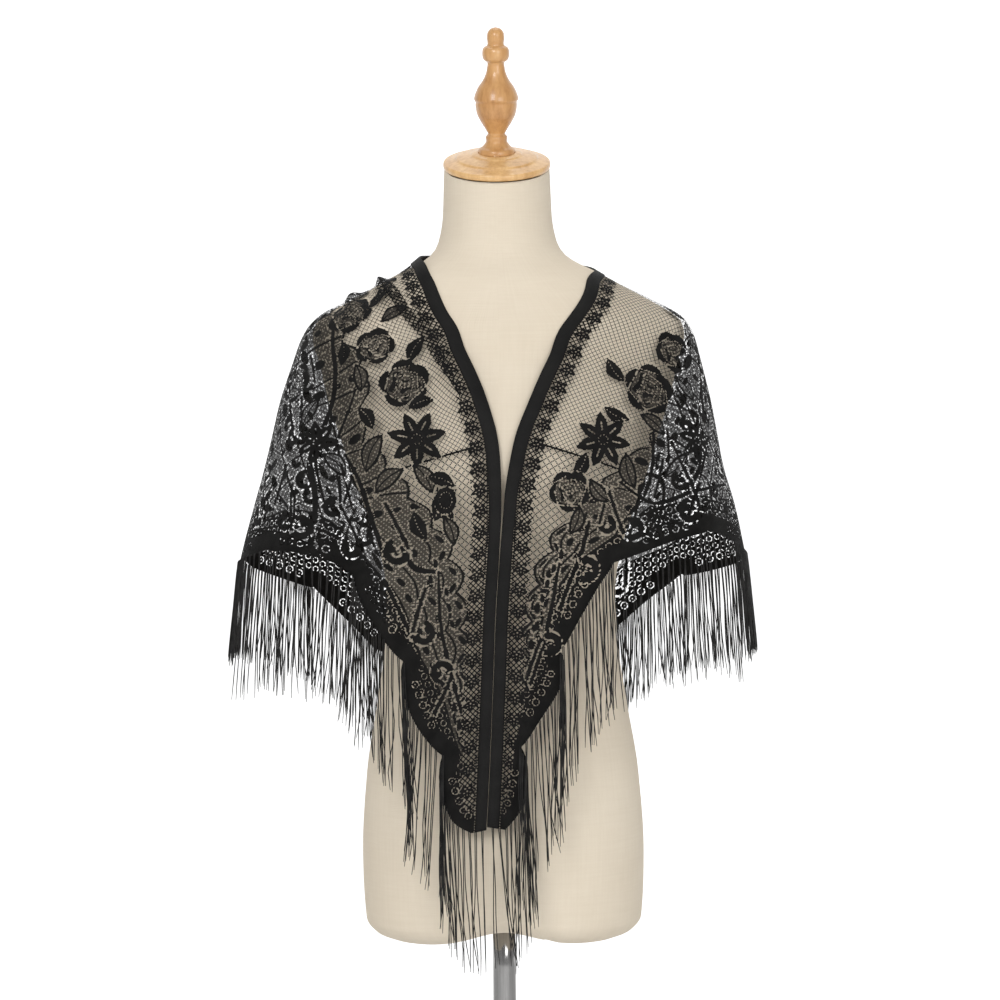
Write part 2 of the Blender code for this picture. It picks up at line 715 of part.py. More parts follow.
def add_turned(name, profile, material, collection):
    """A turned piece: a profile from its top down its outer side, swept about Z."""
    mesh = bpy.data.meshes.new(name)
    points = [(radius, 0, height) for radius, height in zip(profile["radius"], profile["height"])]
    mesh.from_pydata(points, [(i, i + 1) for i in range(len(points) - 1)], [])
    item = add_object(name, mesh, material, collection)
    screw = item.modifiers.new("turning", "SCREW")
    screw.steps = TURNED_SEGMENTS
    screw.render_steps = TURNED_SEGMENTS
    screw.use_merge_vertices = True
    screw.merge_threshold = 0.0001
    return item


def add_cutter(name, location, tilt, collection):
    """A box whose top face passes through a place, leaning forwards."""
    bpy.ops.mesh.primitive_cube_add(size=CUTTER_SIZE)
    cutter = bpy.context.active_object
    cutter.name = name
    for owner in list(cutter.users_collection):
        owner.objects.unlink(cutter)
    collection.objects.link(cutter)
    lean = Matrix.Rotation(tilt, 4, "X")
    below = Matrix.Translation((0, 0, -CUTTER_SIZE / 2))
    cutter.matrix_world = Matrix.Translation(location) @ lean @ below
    cutter.hide_render = True
    cutter.display_type = "WIRE"
    return cutter


def add_stand(collection, cutters):
    wood = new_material("wood", (0.74, 0.45, 0.20), 0.42)
    chrome = new_material("chrome", (0.75, 0.75, 0.76), 0.18, 1.0)
    add_turned("base", BASE_PROFILE, chrome, collection)
    low = BASE_HEIGHT + FLOOR_GAP
    high = UNDERSIDE_HEIGHT - FLOOR_GAP
    bpy.ops.mesh.primitive_cylinder_add(
        vertices=TURNED_SEGMENTS, radius=POLE_RADIUS, depth=high - low, location=(0, 0, (low + high) / 2)
    )
    pole = bpy.context.active_object
    pole.name = "pole"
    for owner in list(pole.users_collection):
        owner.objects.unlink(pole)
    collection.objects.link(pole)
    pole.data.materials.append(chrome)
    pole.data.shade_smooth()
    pole.data.set_sharp_from_angle(angle=SHARP_ANGLE)

    cap = add_turned("neck_cap", CAP_PROFILE, wood, collection)
    cap.location = CAP_CENTRE
    cap.rotation_euler.x = CAP_TILT
    cap_top = CAP_CENTRE + Matrix.Rotation(CAP_TILT, 3, "X") @ Vector((0, 0, CAP_PROFILE["height"][0]))
    finial = add_turned("finial", FINIAL_PROFILE, wood, collection)
    finial.location = cap_top
    finial.rotation_euler.x = FINIAL_TILT
    seat = cap_top + Matrix.Rotation(CAP_TILT, 3, "X") @ Vector((0, 0, FLOOR_GAP))
    foot_cut = finial.modifiers.new("foot", "BOOLEAN")
    foot_cut.object = add_cutter("foot_cutter", seat, CAP_TILT, cutters)


def build():
    clear_scene()
    collection = new_collection("lace_shawl_on_dress_form")
    cutters = new_collection("cutters")
    add_torso(collection)
    add_stand(collection, cutters)
    add_shawl(collection)


build()
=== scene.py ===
"""Looks of a black lace triangle shawl on a limbless dress form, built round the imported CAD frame.

The shawl's drape is worked out here exactly as in the part's source, then carried on: every hole of
the lace is real geometry. Fields over the flat cut say where the cloth is open, where it is solid and
where it is a fine see-through mesh, and the fields are cut out of a fine grid which is then draped.
The picture's left is -X, its right is +X, and the front faces -Y. Everything is in metres.
"""

import math
from functools import partial

import bmesh
import bpy
import numpy as np
from mathutils import Matrix, Vector


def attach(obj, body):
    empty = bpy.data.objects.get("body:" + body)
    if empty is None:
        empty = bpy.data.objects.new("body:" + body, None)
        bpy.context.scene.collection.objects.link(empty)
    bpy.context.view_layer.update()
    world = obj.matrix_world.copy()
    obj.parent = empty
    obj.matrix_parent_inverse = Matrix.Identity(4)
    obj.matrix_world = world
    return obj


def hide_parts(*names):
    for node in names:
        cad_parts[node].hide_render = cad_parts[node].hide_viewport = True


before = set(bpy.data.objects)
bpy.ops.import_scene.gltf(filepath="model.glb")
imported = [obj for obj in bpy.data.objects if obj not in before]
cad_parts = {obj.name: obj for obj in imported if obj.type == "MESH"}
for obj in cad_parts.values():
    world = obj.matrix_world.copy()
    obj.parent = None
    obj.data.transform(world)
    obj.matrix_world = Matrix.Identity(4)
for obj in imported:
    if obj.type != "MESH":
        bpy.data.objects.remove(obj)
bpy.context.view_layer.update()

LEFT, RIGHT = -1, 1
SIDE_WORDS = {LEFT: "left", RIGHT: "right"}

# Mesh fineness of the drape
NET_RIBS = 75
NET_STEPS = 24
NET_ROUNDS = 300
NET_STIFFNESS = 0.9
MOST_TURN_STEP = 0.05
MOST_HEIGHT_STEP = 0.01
ROUTE_POINTS = 600
CUT_POINTS = 2001
HEM_FINE_POINTS = 3001
NET_FINER = 3
SMALL_STEP = 1e-4
TINY = 1e-9

# Lace: the grid that its fields are cut out of, and its repeats in metres
CELL = 0.0013
FIRST_ROW = 8
WINDOW = 75
FACING = 0.3
WELD = 2e-6
SNAP = 4e-5
LEAST_AREA = 0.305
NET_PITCH = 4 * CELL
NET_HOLE = 0.00225
COARSE_PITCH = 6 * CELL
COARSE_HOLE = 0.0030
COARSE_FROM = 279 * CELL
DOT_PITCH = 0.0033
DOT_HALF_WIDTH = 0.00085
DOT_NARROWING = 0.0012
STRIP_PITCH = 16 * CELL
STRIP_FLOWERS = 0.0232
STRIP_TO = 0.0290
STRIP_BEADS = 0.0024
STRIP_LATTICE = 4 * CELL
STRIP_HOLE = 0.0018
STRIP_WAVE = 0.0030
STRIP_OFF_HEM = 0.012
STRIP_FADE = 0.6
STRIP_LOBES = 5
STRIP_FLOWER = 0.0074
STRIP_PETALS = 0.0034
STRIP_EYE = 0.0009
STRIP_BASE = 0.0017
STRIP_BEAD = 0.0007
STRIP_BEADS_OFF = 0.0006
STRIP_FLOWER_WAVE = (0.80, 0.26)
STRIP_PETAL_EDGE = (0.002, 0.0008)
BORDER_DEEP = 0.0390
BORDER_FRONT = 0.0270
BORDER_NARROWS = (0.34, 0.14)
BORDER_WAVE = 0.0030
CHAIN_FROM = 0.0165
CHAIN_STEP = 0.0080
CHAIN_PITCH = 0.0084
CHAIN_LINE = 0.0006
CHAIN_RADIUS = 0.44 * CHAIN_PITCH - 0.0009
CHAIN_DOTS = 6
CHAIN_INSIDE = 0.0016
CHAIN_OFF_BAND = 0.004
RING_PITCH = 0.0108
RING_GAP = 0.0085
RING_RADIUS = 0.0034
RING_LINE = 0.00065
RING_DOTS = 6
RING_EYE = 0.0007
RING_OFF_TIP = 0.012
RINGS_EACH_SIDE = 2
RING_NARROWING = 0.00015
RIM_WIDTH = 0.0050
HEM_POINTS = 420
TIP_POINTS = 24
POINTS_AT_ONCE = 20000
COLUMNS_TO = 0.42
CELL_ALONG = 0.0300
CELL_AWAY = 0.0210
CELL_ROOM = 0.004
CELL_OFF_END = 0.006
CELL_OVALS = (0.0075, 0.0045)
CELL_NARROW = 1.7
CELL_DOTS = 1.4
FLECK = 0.0010
FLECK_PLACE = (0.30, 0.42)
FLECK_TALL = 0.6
VEINS = ((0.060, 0.00, 0.10), (0.060, 0.50, -0.10))
FAN_VEINS = (0.30, 0.70)
FAN_OVALS = ((0.12, 0.0), (0.50, 0.4), (0.86, 0.7))
OVAL_PITCH = 0.0175
OVAL_ROOM = 0.001
FAN_DOTS_OFF = 0.0015
FAN_DOTS = 1.5
FAN_OVAL_FLAT = 1.7
OVAL_SIZE = 0.0047
OVAL_EDGE = 0.7
LINE = 0.0010
EDGE_LINE = 0.0011
VEIN_DOTS = 0.0026
VEIN_DOT_PITCH = 0.0042
VEIN_ROOM = 0.002
LEAST_DEPTH = 1e-4
CORD_POINTS = 40
CORD_MARGIN = 0.01
DOTS_OFF = 0.0014
SCROLL_PLACES = (0.030, 0.440, 0.050)
SCROLL_STEP = 0.066
SCROLL_SIZE = 0.0090
SCROLL_SIZES = (0.85, 1.0)
SCROLL_ROOM = (2.6, 2.2)
SCROLL_SHIFT = 0.006
SCROLL_TURN = 30
SCROLL_SWAY = (2.4, 1.7)
REACH = {"rose": 1.35, "star": 1.3, "leaf": 0.75, "hook": 4.8, "oval": 1.6, "bud": 0.9}
ROSE_LOBES = 5
ROSE_RIM = (0.84, 0.16)
ROSE_SWELL = (1.06, 0.18)
ROSE_TEETH = 30
ROSE_TOOTH = 0.05
ROSE_PETALS = ((0.80, 5, 0.6, 0.4), (0.58, 5, 1.5, 2.6), (0.37, 4, 0.2, 4.4), (0.19, 3, 1.1, 1.0))
RIDGE_SHUTS = 0.0011
ROSE_CRESCENT = 0.0021
ROSE_CRESCENT_IN = 0.0031
ROSE_CRESCENT_TIPS = 0.003
ROSE_DOTS_OFF = 0.0016
ROSE_DOTS_FROM = 0.5
ROSE_DOTS = (0.0028, 0.0012)
HOOK_DOTS = (0.0042, 0.0011)
BUD_SPLAY = 0.5
BUD_SEPAL = 1.25
BUD_OUT = 0.15
BUD_WIDTH = 1.25
BUD_RIM = 0.42
BUD_RING = 0.26
BUD_DOTS_OFF = 0.0015
STAR_PETALS = 7
STAR_PETAL_FROM = 0.16
STAR_PETAL = 0.21
STAR_BLUNT = 0.8
STAR_HEART = 0.24
STAR_RING = 0.17
STAR_SLIT = (0.17, 0.50)
STAR_DOTS_OFF = 0.0015
STAR_DOTS_FROM = 0.3
LEAF_HALF_WIDTH = 0.24
LEAF_BEND = 0.10
LEAF_TIP = 0.7
LEAF_RIM_ROOM = 0.0002
LEAF_MIDRIB = 0.0008
LEAF_DOTS_IN = 0.0022
HOOK_THICKNESS = (0.20, 0.16)
HOOK_WINDS = 0.30
HOOK_ENDS = 0.66
HOOK_END_EDGE = 5
HOOK_RISE = 4.6
HOOK_CURVE = 1.5
HOOK_STEM_FROM = 0.001
HOOK_KNOB = (0.36, 0.46, 0.42)
HOOK_STEM = 0.13
HOOK_STEM_OFF = (0.97, 0.06)
HOOK_STEM_TO = 4.4
HOOK_DOTS_OFF = 0.0017
OVAL_REACH = 0.62
OVAL_NARROW = 1.9
OVAL_DOTS = 1.3
MESH_ARCH = 0.010
MESH_ARCH_PITCH = 0.036
MESH_DOTS = (0.0026, 0.0056)
COARSE_LINE_TO = 0.125
MESH_FROM = {
    "along": (0.00, 0.08, 0.14, 0.19, 0.25, 0.30, 0.34, 0.38, 0.42, 0.46, 0.50, 0.56, 0.74),
    "away": (0.225, 0.205, 0.168, 0.138, 0.134, 0.134, 0.124, 0.104, 0.078, 0.054, 0.041, 0.033, 0.031),
}

# Pleat by the picture's left shoulder
PLEAT_FROM = 0.130
PLEAT_TO = 0.325
PLEAT_WIDTH = 0.013
PLEAT_AWAY_TOP = 0.058
PLEAT_AWAY_FOOT = 0.022
PLEAT_RAMP = 0.010
PLEAT_GROWS = 0.2
PLEAT_ENDS = 0.35
PLEAT_LIFT = 0.0007
PLEAT_SHUTS = 0.0002
SHOULDER_RIDGES = ((0.150, 0.054, 0.0075, 0.034, 0.0060), (0.160, 0.090, 0.0055, 0.030, 0.0070))

# Band and fringe
FRINGE_SEED = 11
BAND_TAPER = 0.0024
BAND_MEETS = 0.0006
BAND_MEETS_FROM = (0.44, 0.06)
BAND_NARROWS = (0.36, 0.12)
BAND_POINTS = 380
BAND_SIDES = 16
BAND_FLAT = 0.35
BAND_SQUARE = 1.06
BAND_ROUND = 0.03
HANGS = {"back": 0.114, "arm": 0.095, "front": 0.137}
PITCHES = {"back": 0.0043, "arm": 0.0036, "front": 0.0066}
SWAYS = {"back": 1.0, "arm": 1.0, "front": 1.7}
STRAND_RADIUS = 0.00056
STRAND_SIDES = 4
STRAND_NODES = 9
STRAND_SPREAD = 0.0008
STRAND_TIP = 0.55
STRAND_KNOT = (0.0012, 0.0006)
STRAND_RAGGED = 0.0028
STRAND_DRIFT = 0.0024
STRAND_LEAN = 0.0022
STRAND_TURNS = 1.6
STRAND_CURVE = 1.3
STRAND_WAVE = 0.0011
STRAND_FLARE = 0.0675
STRAND_LIFT = (0.0012, 0.0018)
DRIFT_MARGIN = 12
DRIFT_WIDTHS = (12, 6)
STRAND_GATHERS = (0.9, 0.66)
TUBE_REFERENCE = (0.83, 0.55, 0.1)

# Smooth pieces of the form
TORSO_TURNS = 128
TORSO_LEVELS = 120
LATHE_STEPS = 72
LATHE_POINTS = 6
LATHE_EASE = 2.0
LATHE_SHARP = 0.1
LATHE_BLEND = 0.5
TIP_WELD = 1e-6

TORSO_LOW_LEVELS = 14
WAIST_LEVEL = 60
UNDERSIDE_SHARE = 0.30
SEAM_TURNS = (math.pi / 2, math.pi, 3 * math.pi / 2)
SEAM_DEPTH = 0.0007
SEAM_HALF_WIDTH = 0.0011
CREASE = ((0.062, 0.552), (0.044, 0.505))
CREASE_DEPTH = 0.0016
CREASE_HALF_WIDTH = 0.004
SHOULDER_PAD = 0.0075
PAD_FROM = 1.07
PAD_TO = 1.185
PAD_FADES = (0.04, 0.03)

# Fine mesh of the lace: how opaque it is, and the pores in it
MESH_ALPHA = 0.82
MESH_PITCH = 0.0052
MESH_PATCHES = 1.4
MESH_HOLES = (1.75, 2.35)
MESH_HOLE_ALPHA = 0.1
SLUB_SCALES = ((1, 0.06, 1), (0.06, 1, 1))

# Tones of the materials: share of the noise, and linear red, green and blue
THREAD_TONES = ((0.3, (0.0050, 0.0048, 0.0046)), (0.7, (0.0110, 0.0104, 0.0098)))
MESH_TONES = ((0.3, (0.0085, 0.0080, 0.0074)), (0.7, (0.0180, 0.0168, 0.0155)))
BAND_TONES = ((0.3, (0.0060, 0.0058, 0.0056)), (0.7, (0.0110, 0.0105, 0.0100)))
STRAND_TONES = ((0.35, (0.0070, 0.0066, 0.0064)), (0.7, (0.0330, 0.0320, 0.0310)))
LINEN_TONES = ((0.36, (0.745, 0.650, 0.515)), (0.64, (0.805, 0.715, 0.580)))
CHROME_TONES = ((0.3, (0.32, 0.315, 0.31)), (0.7, (0.40, 0.395, 0.39)))
STEEL_TONES = ((0.3, (0.50, 0.50, 0.51)), (0.7, (0.60, 0.60, 0.61)))
WOOD_TONES = (
    (0.30, (0.400, 0.185, 0.058)),
    (0.45, (0.570, 0.290, 0.105)),
    (0.58, (0.670, 0.370, 0.145)),
    (0.72, (0.740, 0.445, 0.200)),
)
# Painted light: the cap's wood tones are multiplied by these factors, a paler copy of the wood for its top
# lit from above
CAP_PAINTED_LIGHT = (1.25, 1.45, 1.65)

# Camera and light
CAMERA_AWAY = 4.0
CAMERA_HEIGHT = 1.115
AIM_HEIGHT = 0.938
CAMERA_ROLL = math.radians(-0.55)
FRAME_HEIGHT = 1.0
SENSOR_WIDTH = 36.0
WORLD_LIGHT = 0.38
SWEEP_SIDE = 14.0
SWEEP_BEND = 5.8
SWEEP_RADIUS = 1.6
SWEEP_STEPS = 12
SWEEP_ROUGHNESS = 0.9
SWEEP_CLOUDS = 1.5
SWEEP_TONES = ((0.3, (0.90, 0.90, 0.90)), (0.7, (0.93, 0.93, 0.93)))
SWEEP_GLOW = 0.58
SWEEP_GLOWS_BY = 3.0
SWEEP_STOPS = ((0.45, (0.0, 0.0, 0.0)), (0.80, (1.0, 1.0, 1.0)))
LIGHTS = (
    ("key", (-1.1, -3.6, 2.5), (0, 0, 0.95), (1.3, 1.3), 56),
    ("fill", (1.4, -3.5, 1.7), (0, 0, 0.95), (1.6, 1.6), 34),
    ("top", (0.0, 0.5, 3.4), (0, 0, 0.9), (1.6, 1.2), 14),
)

# Cut of the shawl
BAND_WIDTH = 0.0137
BAND_THICKNESS = 0.0022
SCALLOP_DEPTH = 0.013
SCALLOPS_PER_SIDE = 7.5
TIP_SCALLOP = 0.088
SCALLOP_ROUNDNESS = 0.85
HALF_NECK_EDGE = 0.74

# Dress form and its stand
POLE_RADIUS = 0.0115
BASE_RADIUS = 0.160
BASE_HEIGHT = 0.014
FLOOR_GAP = 0.0003
CAP_RADIUS = 0.0535
CAP_CENTRE = Vector((0.0, -0.003, 1.2695))
CAP_TILT = math.radians(18)
FINIAL_TILT = math.radians(11)
UNDERSIDE_HEIGHT = 0.5065
POLE_TOP = UNDERSIDE_HEIGHT - FLOOR_GAP
POLE_FOOT = BASE_HEIGHT + FLOOR_GAP
POLE_EDGE = 0.0006
NECK_TRIM_HEIGHT = 1.22
ARCH_RISE = 0.014
ARCH_HALF_WIDTH = 0.042
ARCH_FADE = 0.05
ARCH_DEPTH = 0.06


def table(columns, rows):
    """A table as arrays, one for each named column."""
    return {name: [row[i] for row in rows] for i, name in enumerate(columns.split())}


def route(**faces):
    """A route over the worn surface, given as its places (out, height) on each face in turn."""
    return table("out height face", [(*spot, face) for face, spots in faces.items() for spot in spots])


TORSO_RINGS = table(
    "height half_width front middle back roundness",
    (
        (0.5000, 0.1120, -0.074, 0.006, 0.086, 2.3),
        (0.5060, 0.1270, -0.088, 0.006, 0.100, 2.3),
        (0.5200, 0.1380, -0.098, 0.006, 0.109, 2.3),
        (0.5880, 0.1410, -0.103, 0.006, 0.114, 2.3),
        (0.6670, 0.1360, -0.100, 0.004, 0.108, 2.3),
        (0.7360, 0.1250, -0.092, 0.002, 0.093, 2.3),
        (0.8070, 0.1155, -0.083, 0.000, 0.078, 2.2),
        (0.8480, 0.1145, -0.081, 0.000, 0.074, 2.2),
        (0.9000, 0.1240, -0.092, 0.000, 0.078, 2.2),
        (0.9380, 0.1370, -0.106, 0.000, 0.085, 2.2),
        (0.9680, 0.1480, -0.117, 0.002, 0.091, 2.2),
        (1.0000, 0.1580, -0.114, 0.004, 0.097, 2.2),
        (1.0370, 0.1700, -0.100, 0.008, 0.102, 2.2),
        (1.0720, 0.1780, -0.084, 0.012, 0.104, 2.2),
        (1.0950, 0.1805, -0.073, 0.015, 0.102, 2.2),
        (1.1110, 0.1770, -0.064, 0.018, 0.098, 2.2),
        (1.1230, 0.1600, -0.059, 0.019, 0.094, 2.1),
        (1.1370, 0.1350, -0.054, 0.020, 0.088, 2.1),
        (1.1550, 0.1020, -0.050, 0.018, 0.081, 2.1),
        (1.1735, 0.0760, -0.048, 0.012, 0.071, 2.1),
        (1.1940, 0.0598, -0.048, 0.008, 0.061, 2.0),
        (1.2200, 0.0545, -0.050, 0.002, 0.054, 2.0),
        (1.2660, 0.0520, -0.055, -0.003, 0.048, 2.0),
    ),
)
WORN_RINGS = table(
    "height half_width front middle back roundness shift",
    (
        (0.590, 0.2900, -0.121, 0.000, 0.134, 2.1, -0.0080),
        (0.700, 0.2810, -0.123, 0.000, 0.130, 2.1, -0.0080),
        (0.800, 0.2680, -0.125, 0.000, 0.125, 2.1, -0.0080),
        (0.885, 0.2520, -0.126, 0.000, 0.120, 2.1, -0.0075),
        (0.938, 0.2390, -0.126, 0.000, 0.117, 2.1, -0.0060),
        (0.968, 0.2300, -0.125, 0.000, 0.116, 2.1, -0.0060),
        (1.000, 0.2230, -0.120, 0.000, 0.115, 2.1, -0.0050),
        (1.038, 0.2155, -0.107, 0.004, 0.114, 2.1, -0.0040),
        (1.075, 0.2050, -0.092, 0.010, 0.113, 2.1, -0.0020),
        (1.100, 0.1980, -0.080, 0.015, 0.111, 2.1, -0.0010),
        (1.118, 0.1890, -0.071, 0.018, 0.107, 2.1, 0.0000),
        (1.130, 0.1680, -0.066, 0.020, 0.103, 2.1, 0.0000),
        (1.143, 0.1425, -0.061, 0.020, 0.098, 2.1, 0.0000),
        (1.161, 0.1070, -0.057, 0.018, 0.091, 2.1, 0.0000),
        (1.177, 0.0825, -0.056, 0.013, 0.082, 2.1, 0.0000),
        (1.190, 0.0695, -0.055, 0.010, 0.075, 2.1, 0.0000),
        (1.205, 0.0610, -0.055, 0.006, 0.069, 2.1, 0.0000),
    ),
)

# Routes over the worn surface, from the centre back to the front tip. Each place is measured out from
# the middle towards the route's own side.
NECK_EDGE = {
    LEFT: route(
        back=((0.0, 1.183), (0.045, 1.1835), (0.066, 1.183)),
        side=((0.0755, 1.1815),),
        front=(
            (0.0705, 1.172), (0.0646, 1.16), (0.0477, 1.123), (0.031, 1.086), (0.0127, 1.0436),
            (0.0037, 1.014), (-0.001, 0.9755), (-0.0014, 0.943), (0.002, 0.885), (0.0052, 0.846),
            (0.0089, 0.769), (0.0136, 0.679), (0.0169, 0.622),
        ),
    ),
    RIGHT: route(
        back=((0.0, 1.183), (0.045, 1.181), (0.075, 1.1735)),
        side=((0.0925, 1.168),),
        front=(
            (0.0885, 1.158), (0.0723, 1.1247), (0.0472, 1.078), (0.0281, 1.037), (0.0156, 1.006),
            (0.0087, 0.9754), (0.005, 0.953), (0.0028, 0.929), (-0.0006, 0.885), (-0.0036, 0.846),
            (-0.0073, 0.769), (-0.0118, 0.679), (-0.0151, 0.625),
        ),
    ),
}
HEM = {
    LEFT: route(
        back=((0.0, 0.672), (0.06, 0.718), (0.121, 0.767), (0.153, 0.806), (0.199, 0.845)),
        side=((0.26, 0.877),),
        front=(
            (0.235, 0.888), (0.195, 0.891), (0.16, 0.878), (0.128, 0.83), (0.104, 0.775),
            (0.089, 0.735), (0.07, 0.69), (0.059, 0.652), (0.047, 0.628), (0.031, 0.619),
        ),
    ),
    RIGHT: route(
        back=((0.0, 0.672), (0.06, 0.718), (0.1244, 0.805), (0.149, 0.828), (0.186, 0.85)),
        side=((0.244, 0.879),),
        front=(
            (0.23, 0.896), (0.19, 0.904), (0.145, 0.892), (0.105, 0.868), (0.078, 0.828),
            (0.062, 0.77), (0.035, 0.72), (0.026, 0.672), (0.017, 0.64), (0.002, 0.622),
        ),
    ),
}
# The triangle as it was cut: how deep the cloth is below each place along half the neck edge
CUT = table(
    "along depth",
    (
        (0.00, 0.530), (0.10, 0.490), (0.20, 0.440), (0.30, 0.365), (0.40, 0.265),
        (0.50, 0.175), (0.60, 0.110), (0.70, 0.055), (0.74, 0.030),
    ),
)
# Folds: each is a soft ridge (rise above 0) or trough (below 0) along a line from its top to its foot,
# shallow at its top and at its full rise from some way down
FOLD_POINTS = 30
FOLD_START = 0.15
FOLD_GROWTH = 1.2
FOLDS = table(
    "side face top_out top_height foot_out foot_height half_width rise",
    (
        (LEFT, "front", 0.102, 1.135, 0.034, 1.040, 0.015, 0.0055),
        (LEFT, "front", 0.150, 1.120, 0.118, 1.010, 0.022, 0.0060),
        (LEFT, "front", 0.184, 1.085, 0.197, 0.880, 0.026, 0.0100),
        (LEFT, "front", 0.160, 1.040, 0.168, 0.880, 0.020, -0.0060),
        (LEFT, "front", 0.110, 0.960, 0.135, 0.850, 0.030, 0.0070),
        (LEFT, "back", 0.205, 1.040, 0.235, 0.860, 0.028, 0.0100),
        (LEFT, "back", 0.160, 1.080, 0.172, 0.830, 0.030, 0.0110),
        (LEFT, "back", 0.100, 1.090, 0.108, 0.760, 0.030, 0.0090),
        (LEFT, "back", 0.034, 1.100, 0.038, 0.700, 0.028, 0.0080),
        (RIGHT, "front", 0.030, 0.980, 0.022, 0.700, 0.014, 0.0070),
        (RIGHT, "front", 0.056, 0.960, 0.054, 0.800, 0.016, 0.0085),
        (RIGHT, "front", 0.126, 0.990, 0.140, 0.890, 0.028, 0.0060),
        (RIGHT, "front", 0.182, 1.060, 0.198, 0.900, 0.026, 0.0080),
        (RIGHT, "back", 0.190, 1.050, 0.222, 0.870, 0.028, 0.0100),
        (RIGHT, "back", 0.140, 1.070, 0.156, 0.835, 0.028, 0.0090),
        (RIGHT, "back", 0.078, 1.090, 0.086, 0.760, 0.028, 0.0110),
    ),
)
# Stretches of one half of the shawl, as shares of its hem counted from the centre back
STRETCHES = table(
    "name start end",
    (
        ("back", 0.00, 0.16),
        ("arm", 0.16, 0.50),
        ("front", 0.50, 1.00),
    ),
)
# The sheets of lace: each takes one stretch, of both sides or of one
SHEETS = (
    ("back", "back", (LEFT, RIGHT)),
    ("arm_left", "arm", (LEFT,)),
    ("front_left", "front", (LEFT,)),
    ("arm_right", "arm", (RIGHT,)),
    ("front_right", "front", (RIGHT,)),
)

CAP_PROFILE = table(
    "radius height",
    (
        (0.0000, 0.0160), (0.0200, 0.0160), (0.0245, 0.0146), (0.0258, 0.0136), (0.0400, 0.0108),
        (0.0412, 0.0094), (0.0490, 0.0072), (CAP_RADIUS - 0.0008, 0.0060), (CAP_RADIUS, 0.0032),
        (CAP_RADIUS - 0.0010, 0.0003), (CAP_RADIUS - 0.0040, 0.0000), (0.0000, 0.0000),
    ),
)
FINIAL_PROFILE = table(
    "radius height",
    (
        (0.0000, 0.1240), (0.0045, 0.1228), (0.0078, 0.1190), (0.0086, 0.1140), (0.0086, 0.1062),
        (0.0120, 0.1040), (0.0134, 0.0982), (0.0120, 0.0922), (0.0085, 0.0892), (0.0088, 0.0840),
        (0.0095, 0.0800), (0.0130, 0.0718), (0.0180, 0.0645), (0.0215, 0.0560), (0.0220, 0.0530),
        (0.0205, 0.0502), (0.0206, 0.0470), (0.0190, 0.0378), (0.0150, 0.0298), (0.0100, 0.0216),
        (0.0085, 0.0184), (0.0106, 0.0156), (0.0106, 0.0104), (0.0122, 0.0080), (0.0140, 0.0058),
        (0.0180, 0.0030), (0.0180, -0.0080), (0.0000, -0.0080),
    ),
)
POLE_PROFILE = table(
    "radius height",
    (
        (0.0, POLE_TOP), (POLE_RADIUS - POLE_EDGE, POLE_TOP), (POLE_RADIUS, POLE_TOP - POLE_EDGE),
        (POLE_RADIUS, POLE_FOOT + POLE_EDGE), (POLE_RADIUS - POLE_EDGE, POLE_FOOT), (0.0, POLE_FOOT),
    ),
)
BASE_PROFILE = table(
    "radius height",
    (
        (0.0000, BASE_HEIGHT), (0.0240, BASE_HEIGHT), (0.0260, BASE_HEIGHT - 0.0020),
        (0.0280, BASE_HEIGHT - 0.0060), (BASE_RADIUS - 0.0200, 0.0060),
        (BASE_RADIUS - 0.0040, 0.0042), (BASE_RADIUS, 0.0020), (BASE_RADIUS, 0.0000), (0.0000, 0.0000),
    ),
)


# A block of four grid cells: its points, and its corners and the middles of its sides in turn
BLOCK = [(p, q) for p in (0, 1, 2) for q in (0, 1, 2)]
RING = ((0, 0), (2, 0), (2, 2), (0, 2))
SIDES = ((1, 0), (2, 1), (1, 2), (0, 1))

